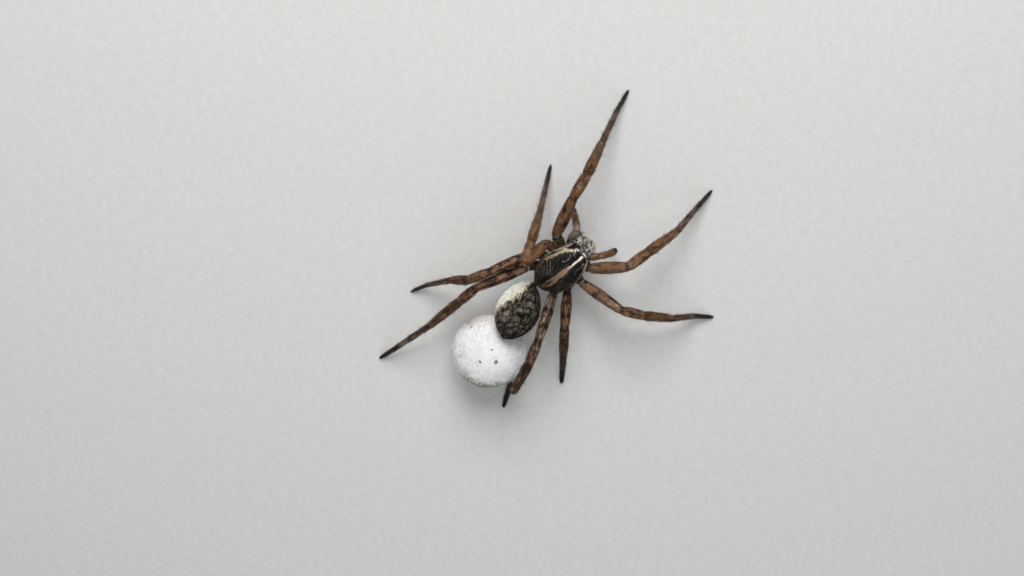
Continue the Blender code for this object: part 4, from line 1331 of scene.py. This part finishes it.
# --- Claws -----------------------------------------------------------------------
# Two small hooked claws of black horn at the end of each foot, side by side, with
# their points down on the floor.
CLAW_LENGTH = 0.42
CLAW_WIDTH = 0.11
CLAW_APART = 0.09
CLAW_ROOT = 0.1
CLAW_RAISED = Vector((0, 0, 0.06))
CLAW_LOWEST_ROOT = 0.14
CLAW_RISE = Vector((0, 0, 0.15))
CLAW_HOOK = Vector((0, 0, -0.42))
bm = bmesh.new()
for limb in legs:
    forward = Vector((limb.along[-1][0], limb.along[-1][1], 0)).normalized()
    for sideways in (-1, 1):
        root = Vector(limb.place[-1]) + Vector(limb.side[-1]) * CLAW_APART * sideways + CLAW_RAISED
        root.z = max(root.z, CLAW_LOWEST_ROOT)
        way = (forward + CLAW_RISE).normalized()
        spike(bm, root - forward * CLAW_ROOT, way, CLAW_HOOK, CLAW_LENGTH, CLAW_WIDTH)
settle_horn("claws", bm)

# --- Egg sac ---------------------------------------------------------------------
# A round case of tough white papery silk, spun in two halves with a faint seam round
# its middle, a little crumpled, stained at the edge and flecked, with painted shade low down and on its side
# away from the light.
low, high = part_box("egg_sac")
sac_middle = ((low + high) / 2 - ORIGIN) / MM
sac_half = (high - low) / 2 / MM
SAC_SEAM_HEIGHT = -0.4
SAC_LOWEST = 0.01
SAC_STAINS = (  # place on the sac from its middle, reach, colour, strength
    ((5.5, -1.3, 0.8), 1.3, (0.66, 0.5, 0.4), 0.45),
    ((5.6, -0.7, 0.4), 0.5, (0.34, 0.24, 0.18), 0.7),
    ((5.2, -1.0, 1.7), 0.4, (0.36, 0.25, 0.18), 0.7),
    ((0.85, 0.9, 4.7), 0.3, (0.1, 0.095, 0.08), 0.9),
    ((-0.7, -0.9, 4.7), 0.42, (0.07, 0.07, 0.07), 0.95),
    ((1.1, -1.65, 4.55), 0.28, (0.12, 0.11, 0.1), 0.9),
    ((3.05, 2.85, 3.35), 0.24, (0.1, 0.09, 0.07), 0.85),
    ((-1.1, -2.8, 4.15), 0.2, (0.3, 0.29, 0.27), 0.7),
    ((0.7, 4.0, 3.4), 0.9, (0.6, 0.57, 0.44), 0.5),
    ((-1.4, 4.1, 3.2), 0.9, (0.52, 0.49, 0.38), 0.5),
    ((4.0, -3.6, 1.5), 1.2, (0.72, 0.6, 0.53), 0.4),
)


def sac_surface(way):
    """Distance of the silk from the middle of the sac, in a direction."""
    reach = 1 / math.hypot(way.x / sac_half.x, way.y / sac_half.y, way.z / (sac_half.z + 0.05))
    p = way * reach
    crumple = noise.noise(p * 0.35) * 0.12 + noise.noise(p * 0.9 + Vector((7, 3, 1))) * 0.07
    crumple += (abs(noise.noise(p * 1.7 + Vector((4, 8, 2)))) + abs(noise.noise(p * 3.1))) * 0.045
    crease = 0.05 * bell(noise.noise(p * 0.6 + Vector((2, 9, 4))), 0.06)
    seam = 0.05 * bell(p.z - SAC_SEAM_HEIGHT - 0.15 * noise.noise(p * 0.5), 0.16)
    return reach - 0.1 + crumple * 0.7 - crease + seam


def sac_finish():
    """Papery silk: matted threads, painted shade low down and on the side away from the light with dark
    specks in it, painted shade in the folds, and stains.
    """
    m = Finish("sac_silk", Specular_IOR_Level=0.25)
    middle = tuple(ORIGIN + sac_middle * MM)
    settings = {"vector_type": "TEXTURE"}
    place = m.node("ShaderNodeMapping", settings, m.object_place(), middle, (0, 0, 0), (MM, MM, MM))
    wool = m.noise(place, 2.2, 6.0, 0.7)
    thread = m.noise(place, 2.4, 7.0, 0.72, Distortion=2.6)
    cloud = m.noise(place, 0.28)
    grit = m.noise(place, 7.0, 4.0, 0.8)
    x, y, z = m.parts(place)
    colour = m.mix(m.step(thread, 0.33, 0.5), (0.5, 0.505, 0.5), (0.97, 0.975, 0.975))
    colour = m.mix(m.step(cloud, 0.45, 0.7) * 0.35, colour, (0.72, 0.73, 0.72))
    # painted shade: the silk yellowish and darker towards the bottom of the case
    colour = m.mix(m.step(z + (wool - 0.5) * 2.2, 0.4, -2.0) * 0.35, colour, (0.5, 0.46, 0.38))
    # painted shade, khaki, on the side of the case away from the light, with gritty specks thickest there
    away_from_light = x * -0.13 + y * 0.11 + (wool - 0.5) * 0.7 + (cloud - 0.5) * 0.6 - m.step(z, -0.3, -2.6) * 0.6
    colour = m.mix(m.step(away_from_light, 0.5, 0.75) * 0.85, colour, (0.27, 0.235, 0.14))
    gritty = m.step(grit, 0.6, 0.75) * (m.step(away_from_light, 0.1, 0.8) * 0.5 + 0.15)
    colour = m.mix(gritty, colour, (0.4, 0.38, 0.32))
    # thin dark lines of painted shade in the folds, strongest near the outline of the case and fading out low
    # down
    rim = abs(x * 0.13 - y * 0.11) | abs(x * 0.12 + y * 0.12)
    crease_shade = m.line(m.noise(place, 0.9, 5.0, 0.6) - 0.5, 0.022, 0.006) * (m.step(rim, 0.35, 0.8) * 0.55 + 0.08)
    colour = m.mix(crease_shade * m.step(z, -2.5, 0.5), colour, (0.34, 0.31, 0.24))
    # dark specks, thickest in the painted shade on the side away from the light
    dark_specks = m.step(m.noise(place, 2.6), 0.58, 0.64) * m.step(away_from_light, 0.38, 0.7)
    colour = m.mix(dark_specks * 0.75, colour, (0.1, 0.085, 0.055))
    for stain, reach, tint, strength in SAC_STAINS:
        far = m.vector("LENGTH", m.vector("SUBTRACT", place, stain))
        near = m.step(far + (wool - 0.5) * reach * 1.4, reach, reach * 0.45)
        colour = m.mix(near * strength, colour, tint)
    colour = m.mix(m.step(m.cells(place, 0.85), 0.075, 0.04) * 0.6, colour, (0.22, 0.19, 0.15))
    relief = thread * 0.8 + wool * 0.5 + grit * 0.3
    return m.finish(colour, m.step(wool, 0.2, 0.8) * 0.2 + 0.68, relief, 0.00032, 1.0)


bm = bmesh.new()
bmesh.ops.create_icosphere(bm, subdivisions=7, radius=1)
for v in bm.verts:
    way = v.co.normalized()
    v.co = way * sac_surface(way) + sac_middle
    v.co.z = max(v.co.z, SAC_LOWEST)
sac_mesh = as_mesh(bm, "egg_sac_silk")
silk_bed_mesh = sac_mesh.copy()
settle("egg_sac_silk", sac_mesh, sac_finish(), ["egg_sac"])

# --- Silk fibres -----------------------------------------------------------------
# Loose white fibres of silk that lie over the case in every direction, apart from the
# flat that it rests on, each a thin thread bent to its curve.
FIBRE_LENGTH = 1.5
FIBRE_HALF = 0.007
FIBRE_STEPS = 7
FIBRE_LIFT = 0.02
FIBRE_SWAY = 0.12
FIBRE_CORNERS = ((-1, 0), (1, 0), (0, 1.6))
FIBRES_PER_SQUARE = 3.0  # of a millimetre
FIBRE_FLOOR_GAP = 0.3
silk_material = grained(
    "silk_fibre", 900.0, 2.0, (0.8, 0.8, 0.78), (0.98, 0.98, 0.97), Specular_IOR_Level=0.3, Roughness=0.45,
)
bm = bmesh.new()
hoops = []
for k in range(FIBRE_STEPS + 1):
    reach = (k / FIBRE_STEPS - 0.5) * FIBRE_LENGTH
    sway = FIBRE_SWAY * math.sin(k * 1.1)
    lifted = FIBRE_LIFT - reach * reach / (2 * sac_half.x)
    hoops.append([
        bm.verts.new((lifted + up * FIBRE_HALF, sway + across * FIBRE_HALF, reach / FIBRE_LENGTH))
        for across, up in FIBRE_CORNERS
    ])
bridge(bm, hoops)
bmesh.ops.recalc_face_normals(bm, faces=bm.faces)
fibre = link("fibre", as_mesh(bm, "fibre"))
fibre.hide_render = True
ways = np.random.default_rng(4).normal(size=(len(silk_bed_mesh.vertices), 3))
out_of_sac = normals(silk_bed_mesh)
ways -= out_of_sac * dots(ways, out_of_sac)[:, None]
store(silk_bed_mesh, "lie", ways / lengths_of(ways)[:, None])
off_floor = points(silk_bed_mesh)[:, 2] > FIBRE_FLOOR_GAP
silk_bed = link("silk_bed", silk_bed_mesh)
fibre_lengths = np.full(len(ways), FIBRE_LENGTH)
fibres = sown(silk_bed, fibre, silk_material, FIBRES_PER_SQUARE * off_floor, fibre_lengths, 3, 0.0, 0.0)
fibres.attributes.remove(fibres.attributes["OFBake"])
bpy.data.objects.remove(fibre)
bpy.data.objects.remove(silk_bed)
settle("silk_fibres", fibres, smooth=False)

# --- Silk ties -------------------------------------------------------------------
# The dragline threads that fix the case to her spinnerets, thin strands of the same silk
# that leave the spinnerets close together and spread a little where they meet the sac.
TIE_THREADS = 26
TIE_HALF = 0.011
TIE_SIDES = 4
TIE_STEPS = 4
TIE_SPREAD = 0.13  # on the sac, of its radius
TIE_GATHERED = 0.09
TIE_SUNK = 0.05
TIE_BOW = 0.12
spinner = solid("spinnerets")
spinner_end = max((v.co for v in spinner.verts), key=lambda co: co.dot(Vector(abdomen_axis))).copy()
spinner.free()
to_tail = (spinner_end - sac_middle).normalized()
random.seed(12)
bm = bmesh.new()
for _ in range(TIE_THREADS):
    wander = Vector((random.gauss(0, 1), random.gauss(0, 1), random.gauss(0, 1)))
    way = (to_tail + wander * TIE_SPREAD).normalized()
    foot = sac_middle + way * (sac_surface(way) - 0.02)
    start = spinner_end + wander * TIE_GATHERED - to_tail * TIE_SUNK
    across = (foot - start).cross(wander).normalized()
    over = across.cross((foot - start).normalized())
    hoops = []
    for k in range(TIE_STEPS + 1):
        share = k / TIE_STEPS
        middle = start.lerp(foot, share) + to_tail * TIE_BOW * math.sin(math.pi * share)
        hoops.append(hoop(bm, middle, across, over, TIE_HALF, TIE_SIDES))
    bridge(bm, hoops)
bmesh.ops.recalc_face_normals(bm, faces=bm.faces)
settle("silk_ties", as_mesh(bm, "silk_ties"), silk_material, smooth=False)
